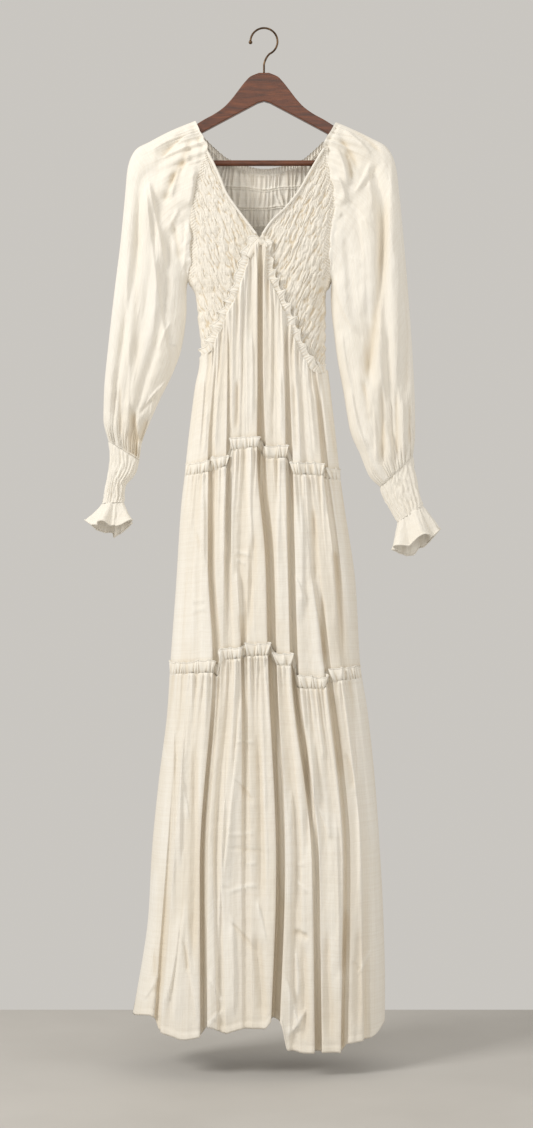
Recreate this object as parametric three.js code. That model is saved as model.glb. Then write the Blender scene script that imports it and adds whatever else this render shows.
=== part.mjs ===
// Tiered peasant dress hanging flat on a wooden hanger.
// Millimetres, +Z up. The front faces -Y and +X is to the viewer's right.
// The origin is the inner crown of the hanger's hook, where the hook bears on what it hangs from.
import * as THREE from "three";

// Driving sizes
const CLOTH = 2;
const SEAM_GAP = 0.3;
const LAP = CLOTH + SEAM_GAP;
const FRILL_HEIGHT = 14.5;
const WAIST_FRILL_HEIGHT = 10;
const BINDING_WIDTH = 4.8;
const CASING_HEIGHT = 12;
const CROWN_POWER = 4;
const GATHER_DEPTH = 2.6;
const GATHER_REACH = 48;
const GATHERS_PER_PANEL = 2;
const PUCKER_HEIGHT = 0.8;
const WAIST_LAP = LAP + PUCKER_HEIGHT + SEAM_GAP;
const WAIST_SETTLE = 70;
const STEPS_PER_WAVE = 3;
const SEAM_SAMPLES = 80;
const FRILL_BRIDGE = 4;
const FRILL_MARGIN = 3;
const FLAT_CROWN = 0.75;
const BODICE_COLUMNS = 14;
const BODICE_TIP = 3;
const BACK_COLUMNS = 24;
const CASING_RUCHES = 24;
const CASING_HALF = 96;
const CASING_GAP = 1.3;
const BINDING_STEPS = 14;
const ELASTIC_SHARE = 0.4;
const RAGLAN_FADE = [1, 0.55, 0.2];
const BACK_NECK_SHARE = 0.1;
const UNDERARM_Z = -404;
const NECK_POINT_Z = -338;
const NECK_POINT_X = -6;

const IVORY = new THREE.MeshStandardMaterial({ color: 0xe9dfcc, roughness: 0.92, metalness: 0 });
const CHERRY_WOOD = new THREE.MeshStandardMaterial({ color: 0x74351a, roughness: 0.42, metalness: 0 });
const DARK_BRONZE = new THREE.MeshStandardMaterial({ color: 0x4a3422, roughness: 0.4, metalness: 0.9 });

// Body of the dress from the neck to the hem, one row for each level.
// left and right are its sides, side is the seam's place in depth, front and back are how far it stands out.
const BODY = [
  { z: -140, left: -175, right: 175, side: 0, front: 18, back: 13 },
  { z: -200, left: -150, right: 148, side: 0, front: 27, back: 15 },
  { z: -300, left: -135, right: 129, side: 0, front: 33, back: 18 },
  { z: -404, left: -121, right: 108, side: 1, front: 35, back: 20 },
  { z: -426, left: -109, right: 99, side: 1, front: 35, back: 21 },
  { z: -460, left: -105, right: 98, side: 2, front: 34, back: 22 },
  { z: -530, left: -100, right: 98, side: 3, front: 34, back: 24 },
  { z: -573, left: -108, right: 103, side: 3, front: 37, back: 27 },
  { z: -655, left: -120, right: 114, side: 4, front: 42, back: 31 },
  { z: -713, left: -127, right: 121.5, side: 4, front: 45, back: 34 },
  { z: -766, left: -133, right: 129, side: 4, front: 48, back: 36 },
  { z: -890, left: -141, right: 147, side: 5, front: 53, back: 40 },
  { z: -1014, left: -150, right: 154, side: 5, front: 56, back: 43 },
  { z: -1092, left: -155, right: 166, side: 5, front: 60, back: 46 },
  { z: -1206, left: -169, right: 178, side: 6, front: 64, back: 49 },
  { z: -1320, left: -180, right: 186, side: 6, front: 68, back: 52 },
  { z: -1414, left: -185, right: 191, side: 6, front: 72, back: 55 },
  { z: -1536, left: -203, right: 194, side: 6, front: 76, back: 58 },
  { z: -1630, left: -222, right: 193, side: 6, front: 78, back: 60 },
];

// Levels at which each fold of the skirt has a place and a depth
const LEVELS = { waist: -540, upperSeam: -695, middle: -850, lowerSeam: -1010, knee: -1330, hem: -1600 };

// Valleys of the front, left to right: where each runs across the skirt
const FRONT_VALLEYS = [
  { waist: -90, upperSeam: -108, middle: -117, lowerSeam: -126, knee: -148, hem: -169, width: 8 },
  { waist: -74, upperSeam: -83, middle: -83, lowerSeam: -75, knee: -95, hem: -94, width: 8 },
  { waist: -54, upperSeam: -55, middle: -57, lowerSeam: -54, knee: -72, hem: -66, width: 7 },
  { waist: -32, upperSeam: -32, middle: -34, lowerSeam: -31, knee: -28, hem: -26, width: 7 },
  { waist: -6, upperSeam: -4, middle: 9, lowerSeam: 13, knee: 26, hem: 17, width: 10 },
  { waist: 16, upperSeam: 18, middle: 26, lowerSeam: 30, knee: 52, hem: 48, width: 7 },
  { waist: 36, upperSeam: 40, middle: 43.5, lowerSeam: 48, knee: 81, hem: 85, width: 8 },
  { waist: 60, upperSeam: 68, middle: 80, lowerSeam: 99, knee: 130, hem: 126, width: 8 },
  { waist: 82, upperSeam: 96, middle: 115, lowerSeam: 128, knee: 160, hem: 162, width: 7 },
];

// How deep each of those valleys is at the same levels
const FRONT_DEPTHS = [
  { waist: 3, upperSeam: 2, middle: 5, lowerSeam: 4, knee: 13, hem: 17 },
  { waist: 6, upperSeam: 12, middle: 15, lowerSeam: 13, knee: 20, hem: 23 },
  { waist: 7, upperSeam: 12, middle: 10, lowerSeam: 4, knee: 8, hem: 6 },
  { waist: 5, upperSeam: 2, middle: 3, lowerSeam: 12, knee: 6, hem: 4 },
  { waist: 13, upperSeam: 17, middle: 19, lowerSeam: 20, knee: 26, hem: 30 },
  { waist: 5, upperSeam: 2, middle: 2, lowerSeam: 3, knee: 5, hem: 4 },
  { waist: 8, upperSeam: 13, middle: 15, lowerSeam: 16, knee: 12, hem: 22 },
  { waist: 4, upperSeam: 3, middle: 6, lowerSeam: 15, knee: 12, hem: 16 },
  { waist: 6, upperSeam: 12, middle: 11, lowerSeam: 5, knee: 7, hem: 10 },
];

// Valleys of the back, which the photograph hides
const BACK_VALLEYS = [
  { waist: -76, upperSeam: -92, middle: -102, lowerSeam: -108, knee: -132, hem: -150, width: 9 },
  { waist: -46, upperSeam: -50, middle: -56, lowerSeam: -58, knee: -72, hem: -84, width: 9 },
  { waist: -14, upperSeam: -10, middle: -12, lowerSeam: -6, knee: -8, hem: -12, width: 10 },
  { waist: 18, upperSeam: 26, middle: 30, lowerSeam: 38, knee: 50, hem: 52, width: 8 },
  { waist: 50, upperSeam: 62, middle: 74, lowerSeam: 84, knee: 104, hem: 112, width: 9 },
  { waist: 78, upperSeam: 94, middle: 110, lowerSeam: 124, knee: 148, hem: 156, width: 8 },
];

const BACK_DEPTHS = [
  { waist: 4, upperSeam: 8, middle: 10, lowerSeam: 12, knee: 14, hem: 16 },
  { waist: 5, upperSeam: 10, middle: 12, lowerSeam: 11, knee: 17, hem: 20 },
  { waist: 6, upperSeam: 12, middle: 12, lowerSeam: 15, knee: 19, hem: 22 },
  { waist: 4, upperSeam: 8, middle: 10, lowerSeam: 11, knee: 12, hem: 13 },
  { waist: 5, upperSeam: 10, middle: 12, lowerSeam: 14, knee: 17, hem: 20 },
  { waist: 4, upperSeam: 7, middle: 9, lowerSeam: 10, knee: 13, hem: 15 },
];

// Top edge of the first tier at the front: the raised waist seam, a pointed arch
const WAIST_LINE = [
  { x: -103, z: -528 }, { x: -84, z: -513 }, { x: -74, z: -492 }, { x: -56, z: -454 },
  { x: -39, z: -419 }, { x: -30, z: -391 }, { x: -21, z: -360 }, { x: -6, z: -345 },
  { x: -1, z: -353 }, { x: 6, z: -395 }, { x: 16.5, z: -422 }, { x: 34, z: -460 },
  { x: 48, z: -499 }, { x: 65, z: -533 }, { x: 85, z: -550 }, { x: 103, z: -546 },
];

// Tops of the header frills and the hem across the front, where each panel hangs at its own height
const UPPER_FRILL_TOP = [
  { x: -130, z: -701 }, { x: -88, z: -695 }, { x: -79, z: -690 }, { x: -60, z: -687 },
  { x: -50, z: -661 }, { x: -12, z: -657 }, { x: 3, z: -673 }, { x: 36, z: -674 },
  { x: 45, z: -699 }, { x: 92, z: -701 }, { x: 99, z: -706 }, { x: 124, z: -707 },
];
const LOWER_FRILL_TOP = [
  { x: -153, z: -1016 }, { x: -82, z: -1012 }, { x: -74, z: -1018 }, { x: -65, z: -992 },
  { x: -34, z: -989 }, { x: -28, z: -986 }, { x: 6, z: -985 }, { x: 21, z: -1000 },
  { x: 44, z: -1001 }, { x: 53, z: -1036 }, { x: 94, z: -1037 }, { x: 103, z: -1027 },
  { x: 158, z: -1022 },
];
const FRONT_HEM = [
  { x: -214, z: -1574 }, { x: -176, z: -1568 }, { x: -164, z: -1590 }, { x: -130, z: -1600 },
  { x: -100, z: -1595 }, { x: -88, z: -1581 }, { x: -60, z: -1590 }, { x: -28, z: -1583 },
  { x: 0, z: -1583 }, { x: 14, z: -1570 }, { x: 26, z: -1574 }, { x: 37, z: -1616 },
  { x: 74, z: -1621 }, { x: 120, z: -1622 }, { x: 132, z: -1608 }, { x: 162, z: -1606 },
  { x: 194, z: -1585 },
];
const BACK_WAIST = [{ x: -103, z: -528 }, { x: 0, z: -522 }, { x: 103, z: -546 }];
const UPPER_FRILL_TOP_BACK = [
  { x: -130, z: -701 }, { x: -70, z: -694 }, { x: -30, z: -700 }, { x: 10, z: -692 },
  { x: 50, z: -698 }, { x: 90, z: -696 }, { x: 124, z: -707 },
];
const LOWER_FRILL_TOP_BACK = [
  { x: -153, z: -1016 }, { x: -84, z: -1008 }, { x: -32, z: -1015 }, { x: 20, z: -1006 },
  { x: 64, z: -1016 }, { x: 110, z: -1010 }, { x: 158, z: -1022 },
];
const BACK_HEM = [
  { x: -214, z: -1574 }, { x: -120, z: -1584 }, { x: -46, z: -1576 }, { x: 20, z: -1574 },
  { x: 82, z: -1588 }, { x: 134, z: -1592 }, { x: 194, z: -1585 },
];

// Edge of the V neck down to its point, and the raglan seams from the shoulder to the underarm
const LEFT_NECK = [
  { z: -198, x: -90 }, { z: -218, x: -80 }, { z: -242, x: -69 }, { z: -266, x: -59.5 },
  { z: -284, x: -48 }, { z: -303, x: -34 }, { z: -330, x: -13.5 }, { z: -338, x: -7.8 },
];
const RIGHT_NECK = [
  { z: -192, x: 96 }, { z: -220, x: 79.5 }, { z: -240, x: 68 }, { z: -260, x: 57 },
  { z: -290, x: 34 }, { z: -314, x: 9.6 }, { z: -338, x: -6.5 },
];
const LEFT_RAGLAN = [
  { z: -147, x: -110 }, { z: -167, x: -102 }, { z: -198, x: -92 }, { z: -231, x: -104 },
  { z: -260, x: -113 }, { z: -297, x: -117 }, { z: -356, x: -117.5 }, { z: -404, x: -121 },
];
const RIGHT_RAGLAN = [
  { z: -149, x: 115 }, { z: -170, x: 105 }, { z: -192, x: 98 }, { z: -211, x: 101 },
  { z: -238, x: 107 }, { z: -268, x: 112 }, { z: -292, x: 112.5 }, { z: -318, x: 107.5 },
  { z: -350, x: 105 }, { z: -391, x: 105 }, { z: -404, x: 108 },
];
const LEFT_RAGLAN_BACK = [
  { z: -147, x: -110 }, { z: -171, x: -98 }, { z: -230, x: -105 }, { z: -280, x: -113 },
  { z: -360, x: -117.5 }, { z: -404, x: -121 },
];
const RIGHT_RAGLAN_BACK = [
  { z: -149, x: 115 }, { z: -172, x: 101 }, { z: -230, x: 101 }, { z: -280, x: 104 },
  { z: -360, x: 105 }, { z: -404, x: 108 },
];
const BACK_NECK = [
  { x: -98, z: -169 }, { x: -80, z: -187 }, { x: -55, z: -206 }, { x: 0, z: -221 },
  { x: 58, z: -208 }, { x: 82, z: -190 }, { x: 101, z: -171 },
];

// Sleeves from the raglan seam to the cuff, one row for each section.
// outX and outZ are its outer or upper end, inX and inZ its inner or lower end.
const LEFT_SLEEVE = [
  { outX: -110, outZ: -147, inX: -121, inZ: -404, front: 27, back: 15 },
  { outX: -147, outZ: -162, inX: -123, inZ: -410, front: 27, back: 17 },
  { outX: -182, outZ: -180, inX: -124, inZ: -418, front: 26, back: 18 },
  { outX: -205, outZ: -193, inX: -124, inZ: -430, front: 25, back: 19 },
  { outX: -218, outZ: -222, inX: -124, inZ: -450, front: 25, back: 20 },
  { outX: -223, outZ: -274, inX: -127, inZ: -482, front: 26, back: 20 },
  { outX: -230, outZ: -345, inX: -133, inZ: -515, front: 26, back: 20 },
  { outX: -240, outZ: -425, inX: -146, inZ: -551, front: 25, back: 20 },
  { outX: -249, outZ: -505, inX: -166, inZ: -592, front: 23, back: 19 },
  { outX: -256, outZ: -580, inX: -185, inZ: -635, front: 21, back: 17 },
  { outX: -257, outZ: -624, inX: -195, inZ: -661, front: 18, back: 15 },
  { outX: -249, outZ: -660, inX: -199.5, inZ: -690, front: 14, back: 12 },
];
const LEFT_CUFF = [
  { outX: -249, outZ: -660.4, inX: -199.5, inZ: -690.4, front: 13, back: 12 },
  { outX: -246, outZ: -682, inX: -208, inZ: -714, front: 13, back: 12 },
  { outX: -249, outZ: -708, inX: -222, inZ: -730, front: 13, back: 12 },
  { outX: -254, outZ: -737, inX: -224, inZ: -746, front: 13, back: 12 },
  { outX: -258, outZ: -759, inX: -224, inZ: -757, front: 14, back: 13 },
];
const LEFT_FLOUNCE = [
  { outX: -258, outZ: -759.4, inX: -224, inZ: -757.4, front: 14, back: 13 },
  { outX: -269, outZ: -776, inX: -218, inZ: -774, front: 19, back: 17 },
  { outX: -280, outZ: -790, inX: -212, inZ: -789, front: 24, back: 22 },
];
const RIGHT_SLEEVE = [
  { outX: 115, outZ: -149, inX: 108, inZ: -404, front: 27, back: 15 },
  { outX: 141, outZ: -160, inX: 108, inZ: -410, front: 27, back: 17 },
  { outX: 170, outZ: -174, inX: 107, inZ: -418, front: 26, back: 18 },
  { outX: 196, outZ: -189, inX: 107, inZ: -432, front: 25, back: 19 },
  { outX: 210, outZ: -216, inX: 108, inZ: -452, front: 25, back: 20 },
  { outX: 217, outZ: -268, inX: 112, inZ: -486, front: 26, back: 20 },
  { outX: 224, outZ: -342, inX: 117, inZ: -525, front: 26, back: 20 },
  { outX: 232, outZ: -440, inX: 128, inZ: -586, front: 25, back: 20 },
  { outX: 238, outZ: -524, inX: 138, inZ: -644, front: 23, back: 19 },
  { outX: 241.5, outZ: -602, inX: 153, inZ: -679, front: 21, back: 17 },
  { outX: 242, outZ: -646, inX: 170, inZ: -718, front: 18, back: 15 },
  { outX: 238.5, outZ: -684, inX: 186, inZ: -733, front: 14, back: 12 },
];
const RIGHT_CUFF = [
  { outX: 238.5, outZ: -684.4, inX: 186, inZ: -733.4, front: 13, back: 12 },
  { outX: 240, outZ: -702, inX: 189.5, inZ: -745, front: 13, back: 12 },
  { outX: 244.5, outZ: -724, inX: 195, inZ: -757, front: 13, back: 12 },
  { outX: 249, outZ: -745, inX: 202, inZ: -769, front: 13, back: 12 },
  { outX: 253.5, outZ: -762, inX: 213, inZ: -789, front: 14, back: 13 },
];
const RIGHT_FLOUNCE = [
  { outX: 253.6, outZ: -762.4, inX: 213.1, inZ: -789.4, front: 14, back: 13 },
  { outX: 266, outZ: -782, inX: 209, inZ: -811, front: 19, back: 17 },
  { outX: 278, outZ: -804, inX: 205, inZ: -831, front: 24, back: 22 },
];

// Long soft valleys down the sleeves: across is 0 at the outer end of a section and 1 at the inner end
const LEFT_SLEEVE_VALLEYS = [
  { top: 0.18, elbow: 0.24, cuff: 0.26, width: 0.06, depth: 6 },
  { top: 0.4, elbow: 0.48, cuff: 0.46, width: 0.07, depth: 4 },
  { top: 0.62, elbow: 0.7, cuff: 0.72, width: 0.06, depth: 5 },
];
const RIGHT_SLEEVE_VALLEYS = [
  { top: 0.12, elbow: 0.3, cuff: 0.52, width: 0.07, depth: 9 },
  { top: 0.42, elbow: 0.55, cuff: 0.74, width: 0.06, depth: 4 },
  { top: 0.66, elbow: 0.76, cuff: 0.3, width: 0.06, depth: 3 },
];

// Waves of the frills, front and back, and around each cuff and flounce
const FRILL_WAVES = { waist: 12, upperFront: 22, upperBack: 14, lowerFront: 26, lowerBack: 16 };
const SHIRRING = { waves: 11, first: 0.8, last: 0.8, edge: 0 };
const CUFF_STEPS = 2 * SHIRRING.waves;
const FLOUNCE_WAVES = { waves: 9, first: 0.8, last: 5, edge: 3 };
const FLOUNCE_STEPS = 4 * FLOUNCE_WAVES.waves;

// Edges of a tier: each seam runs a frill's height below the frill's top, with its gap
const SEAM_ABOVE = -FRILL_HEIGHT + SEAM_GAP / 2;
const SEAM_BELOW = -FRILL_HEIGHT - SEAM_GAP / 2;

// Hanger: a shaped board with a bar under it and a wire hook above
const BOARD = { thickness: 12, bevel: 1.2, underMiddle: -116, curveSegments: 8 };
const BOARD_TOP = [
  { x: 8, z: -71 }, { x: 22, z: -77 }, { x: 30, z: -85 }, { x: 41, z: -99 }, { x: 51, z: -112 },
  { x: 63, z: -125 }, { x: 78, z: -136 }, { x: 97, z: -146.5 }, { x: 112, z: -155.8 }, { x: 170, z: -187 },
];
const BOARD_END = { x: 182, z: -207, radius: 13, startTurn: 1.06, endTurn: -1.14 };
const BOARD_UNDER = [{ x: 176, z: -223 }, { x: 164, z: -202 }, { x: 100, z: -167 }, { x: 10, z: -119 }];
const BAR = { radius: 4.7, z: -214.7, half: 167.5, sides: 16 };
const HOOK = { wire: 1.6, ring: 21.6, centreZ: -20, ball: 3.1, startTurn: 3.2, endTurn: -1.13, sides: 8 };
const HOOK_RING_STEPS = 22;
const HOOK_STEPS = 36;
const HOOK_STEM = [{ x: 2, z: -50 }, { x: 0, z: -58 }, { x: 0, z: -70.5 }];
const BALL_STATIONS = [-0.96, -0.78, -0.45, 0, 0.45, 0.75];

const NECK_EDGE_STEPS = 4;
const SIDE_SEAM_SHARES = [0.08, 0.22, 0.4, 0.6, 0.8, 1];
const UP = new THREE.Vector3(0, 0, 1);

// Smooth value of one named column of a table, without overshoot
function along(rows, by, key, at) {
  const list = rows[0][by] < rows[rows.length - 1][by] ? rows : [...rows].reverse();
  const last = list.length - 1;
  if (at <= list[0][by]) return list[0][key];
  if (at >= list[last][by]) return list[last][key];
  let i = 0;
  while (at > list[i + 1][by]) i += 1;
  const span = (k) => list[k + 1][by] - list[k][by];
  const rate = (k) => (list[k + 1][key] - list[k][key]) / span(k);
  const slope = (k) => {
    if (k === 0) return rate(0);
    if (k === last) return rate(last - 1);
    const before = rate(k - 1);
    const after = rate(k);
    return before * after <= 0 ? 0 : (2 * before * after) / (before + after);
  };
  const h = span(i);
  const t = (at - list[i][by]) / h;
  const start = (1 + 2 * t) * (1 - t) ** 2 * list[i][key] + t * (1 - t) ** 2 * h * slope(i);
  const end = t * t * (3 - 2 * t) * list[i + 1][key] + t * t * (t - 1) * h * slope(i + 1);
  return start + end;
}

// Value of a fold's row at a height of the skirt
function atLevel(row, z) {
  const rows = Object.entries(LEVELS).map(([name, level]) => ({ z: level, value: row[name] }));
  return along(rows, "z", "value", z);
}

const blend = (from, to, t) => from + (to - from) * t;
const bump = (distance, width) => Math.exp(-((distance / width) ** 2));

// Half section of the body at one height: its sides, and how far it stands out
function bodyAt(z, proud) {
  return {
    left: along(BODY, "z", "left", z) - proud,
    right: along(BODY, "z", "right", z) + proud,
    side: along(BODY, "z", "side", z),
    front: along(BODY, "z", "front", z) + proud,
    back: along(BODY, "z", "back", z) + proud,
  };
}

// Roundness of the section: 0 at a side seam, 1 in the flat middle
function crownAt(body, x) {
  const across = THREE.MathUtils.clamp((x - body.left) / (body.right - body.left), 0, 1);
  return Math.sqrt(1 - Math.abs(2 * across - 1) ** CROWN_POWER);
}

function valleysAt(valleys, depths, x, z) {
  return valleys.reduce((sum, valley, i) => {
    return sum + atLevel(depths[i], z) * bump(x - atLevel(valley, z), valley.width);
  }, 0);
}

function frontY(x, z, proud = 0) {
  const body = bodyAt(z, proud);
  return body.side - (body.side + body.front) * crownAt(body, x);
}

function backY(x, z, proud = 0) {
  const body = bodyAt(z, proud);
  return body.side + (body.back - body.side) * crownAt(body, x);
}

// The two sides of the garment, as a maker lays them out
const FRONT = {
  faces: -1, y: frontY, valleys: FRONT_VALLEYS, depths: FRONT_DEPTHS, waist: WAIST_LINE,
  upperTop: UPPER_FRILL_TOP, lowerTop: LOWER_FRILL_TOP, hem: FRONT_HEM,
  steps: [0, 0.17, 0.36, 0.64, 0.83],
};
const BACK = {
  faces: 1, y: backY, valleys: BACK_VALLEYS, depths: BACK_DEPTHS, waist: BACK_WAIST,
  upperTop: UPPER_FRILL_TOP_BACK, lowerTop: LOWER_FRILL_TOP_BACK, hem: BACK_HEM,
  steps: [0, 0.2, 0.5, 0.8],
};

// The skirt's surface, with its valleys, on one side of the garment
function skirtY(half, x, z, proud = 0, depth = 1) {
  const dip = depth * valleysAt(half.valleys, half.depths, x, z) * crownAt(bodyAt(z, proud), x);
  return half.y(x, z, proud) - half.faces * dip;
}

// Closed wall between a grid of outer points and a grid of inner ones. A closed wall is a tube.
function wall(rows, inside, closed = false) {
  const count = rows[0].length;
  const positions = [];
  const layers = [rows, inside];
  layers.forEach((layer) => layer.forEach((row) => row.forEach((p) => positions.push(p.x, p.y, p.z))));
  const id = (layer, r, c) => layer * rows.length * count + r * count + (c % count);
  const faces = [];
  const quad = (a, b, c, d) => faces.push(a, b, c, a, c, d);
  const columns = closed ? count : count - 1;
  const lastRow = rows.length - 1;
  for (let c = 0; c < columns; c += 1) {
    for (let r = 0; r < lastRow; r += 1) {
      quad(id(0, r, c), id(0, r + 1, c), id(0, r + 1, c + 1), id(0, r, c + 1));
      quad(id(1, r, c), id(1, r, c + 1), id(1, r + 1, c + 1), id(1, r + 1, c));
    }
    quad(id(0, 0, c), id(0, 0, c + 1), id(1, 0, c + 1), id(1, 0, c));
    quad(id(0, lastRow, c), id(1, lastRow, c), id(1, lastRow, c + 1), id(0, lastRow, c + 1));
  }
  if (!closed) {
    for (let r = 0; r < lastRow; r += 1) {
      quad(id(0, r, 0), id(1, r, 0), id(1, r + 1, 0), id(0, r + 1, 0));
      quad(id(0, r, columns), id(0, r + 1, columns), id(1, r + 1, columns), id(1, r, columns));
    }
  }
  const geometry = new THREE.BufferGeometry();
  geometry.setAttribute("position", new THREE.Float32BufferAttribute(positions, 3));
  geometry.setIndex(pointOut(faces, positions));
  geometry.computeVertexNormals();
  return geometry;
}

// Inside of a tube: its end rings are offset in their own planes, and the rest square to the surface
function insideOfTube(rings, axes, outward) {
  const last = rings.length - 1;
  return rings.map((ring, r) => ring.map((point, c) => {
    const tangent = ring[(c + 1) % ring.length].clone().sub(ring[(c + ring.length - 1) % ring.length]);
    const end = r === 0 || r === last;
    const onwards = end ? axes[r] : rings[r + 1][c].clone().sub(rings[r - 1][c]);
    const normal = tangent.cross(onwards).multiplyScalar(outward).normalize();
    return point.clone().addScaledVector(normal, -CLOTH);
  }));
}

// Turns the faces round where the volume that they close comes out negative
function pointOut(faces, positions) {
  let volume = 0;
  const corner = (i) => new THREE.Vector3().fromArray(positions, 3 * i);
  for (let f = 0; f < faces.length; f += 3) {
    volume += corner(faces[f]).dot(corner(faces[f + 1]).cross(corner(faces[f + 2])));
  }
  return volume > 0 ? faces : faces.reverse();
}

// Columns of a tier: from one side seam to the other, closer together at the valleys
function tierColumns(half) {
  const columns = [];
  for (let gap = 0; gap <= half.valleys.length; gap += 1) {
    half.steps.forEach((step) => columns.push({ gap, step }));
  }
  columns.push({ gap: half.valleys.length, step: 1 });
  return columns;
}

function columnX(half, column, z, proud) {
  const body = bodyAt(z, proud);
  const lineAt = (i) => {
    if (i === 0) return body.left;
    return i > half.valleys.length ? body.right : atLevel(half.valleys[i - 1], z);
  };
  return blend(lineAt(column.gap), lineAt(column.gap + 1), column.step);
}

// One tier of the skirt on one side, between two edges that run at their own height at each column.
// Valleys start from nothing at the waist, where the tier is sewn to the bodice.
function tier(half, edges) {
  const columns = tierColumns(half);
  const lastColumn = columns.length - 1;
  const lastRow = edges.rows.length - 1;
  const topLevel = edges.top[0].z;
  const bottomLevel = edges.bottom[0].z;
  const flat = [];
  const rows = edges.rows.map((down) => columns.map((column, c) => {
    const proud = edges.proud * (1 - down);
    const top = along(edges.top, "x", "z", columnX(half, column, topLevel, 0)) + edges.topShift;
    const bottom = along(edges.bottom, "x", "z", columnX(half, column, bottomLevel, 0)) + edges.bottomShift;
    const z = blend(top, bottom, down);
    const x = columnX(half, column, z, proud);
    const crown = crownAt(bodyAt(z, proud), x);
    const depth = edges.settle > 0 ? THREE.MathUtils.smoothstep((top - z) / edges.settle, 0, 1) : 1;
    const gathers = Math.sin(Math.PI * GATHERS_PER_PANEL * column.step) ** 2;
    const gather = GATHER_DEPTH * gathers * crown * Math.exp((z - top) / GATHER_REACH);
    const apart = c === 0 || c === lastColumn ? (half.faces * SEAM_GAP) / 2 : 0;
    flat.push(crown > FLAT_CROWN);
    return new THREE.Vector3(x, skirtY(half, x, z, proud, depth) + half.faces * gather + apart, z);
  }));
  const inner = rows.map((row, r) => row.map((point, c) => {
    const tangent = row[Math.min(c + 1, lastColumn)].clone().sub(row[Math.max(c - 1, 0)]);
    const normal = tangent.cross(UP).multiplyScalar(-half.faces).normalize();
    const rim = r === 0 || r === lastRow;
    if (rim && flat[r * columns.length + c]) normal.set(0, half.faces, 0);
    if (c === 0) normal.set(-1, 0, 0);
    if (c === lastColumn) normal.set(1, 0, 0);
    return point.clone().addScaledVector(normal, -CLOTH);
  }));
  return wall(rows, inner);
}

// Header frill: it lies on the tier above its seam, flares out and is rippled in waves
function frill(half, size) {
  const { waves, height, ripple, flare } = size;
  const count = waves * STEPS_PER_WAVE;
  const rows = [0, 1].map((up) => {
    const row = [];
    for (let c = 0; c <= count; c += 1) {
      const seam = size.path(c / count);
      const x = seam.x + up * height * seam.lean;
      const at = seam.z + up * height * Math.sqrt(1 - seam.lean ** 2);
      const wave = Math.sin((2 * Math.PI * c) / STEPS_PER_WAVE + Math.sin(c) / 2);
      const nearby = [x - FRILL_BRIDGE, x, x + FRILL_BRIDGE].map((place) => half.faces * size.surface(place, at));
      const out = Math.max(...nearby) + LAP + size.lift + up * (flare + ripple * (1 + wave));
      row.push(new THREE.Vector3(x, half.faces * out, at));
    }
    return row;
  });
  return wall(rows, shifted(rows, half.faces));
}

// Inside of a wall whose thickness is measured straight through the garment
function shifted(rows, faces) {
  return rows.map((row) => row.map((p) => new THREE.Vector3(p.x, p.y - faces * CLOTH, p.z)));
}

// Frill at the top of a lower tier, from side to side along its seam
function seamFrill(half, tops, waves) {
  const body = bodyAt(tops[0].z, 0);
  return frill(half, {
    waves,
    height: FRILL_HEIGHT,
    lift: 0.5,
    ripple: 2.4,
    flare: 3.2,
    path: (t) => {
      const x = blend(body.left + FRILL_MARGIN, body.right - FRILL_MARGIN, t);
      return { x, z: along(tops, "x", "z", x) - FRILL_HEIGHT + SEAM_GAP, lean: 0 };
    },
    surface: (x, z) => skirtY(half, x, z),
  });
}

// Point at a share of the length of a seam, with its lean: the sideways part of the direction square to it
function seamPoint(seam, fromX, toX, share) {
  const points = [];
  let length = 0;
  for (let i = 0; i <= SEAM_SAMPLES; i += 1) {
    const x = blend(fromX, toX, i / SEAM_SAMPLES);
    const z = along(seam, "x", "z", x);
    const before = points[i - 1];
    length += before ? Math.hypot(x - before.x, z - before.z) : 0;
    points.push({ x, z, length });
  }
  const x = along(points, "length", "x", share * length);
  const ahead = along(seam, "x", "z", x + 1) - along(seam, "x", "z", x - 1);
  return { x, z: along(seam, "x", "z", x), lean: -ahead / Math.hypot(2, ahead) };
}

// Frill along one stretch of the raised waist seam, over the bodice's lower edge
function waistFrill(half, fromX, toX, waves) {
  return frill(half, {
    waves,
    height: WAIST_FRILL_HEIGHT,
    lift: PUCKER_HEIGHT + SEAM_GAP,
    ripple: 1.8,
    flare: 1.6,
    path: (t) => {
      const { x, z, lean } = seamPoint(half.waist, fromX, toX, t);
      return { x: x + lean, z: z + 1.2, lean };
    },
    surface: (x, z) => half.y(x, z),
  });
}

// Shares of the way down a raglan seam, from the shoulder to the underarm: the neck edge, then the seam
function raglanShares(neckShare) {
  const neckEdge = [0, 0.06, 0.3, 0.65].map((share) => share * neckShare);
  const seam = [0, 0.1, 0.22, 0.36, 0.5, 0.64, 0.78, 0.9, 1].map((share) => blend(neckShare, 1, share));
  return [...neckEdge, ...seam];
}

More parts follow.
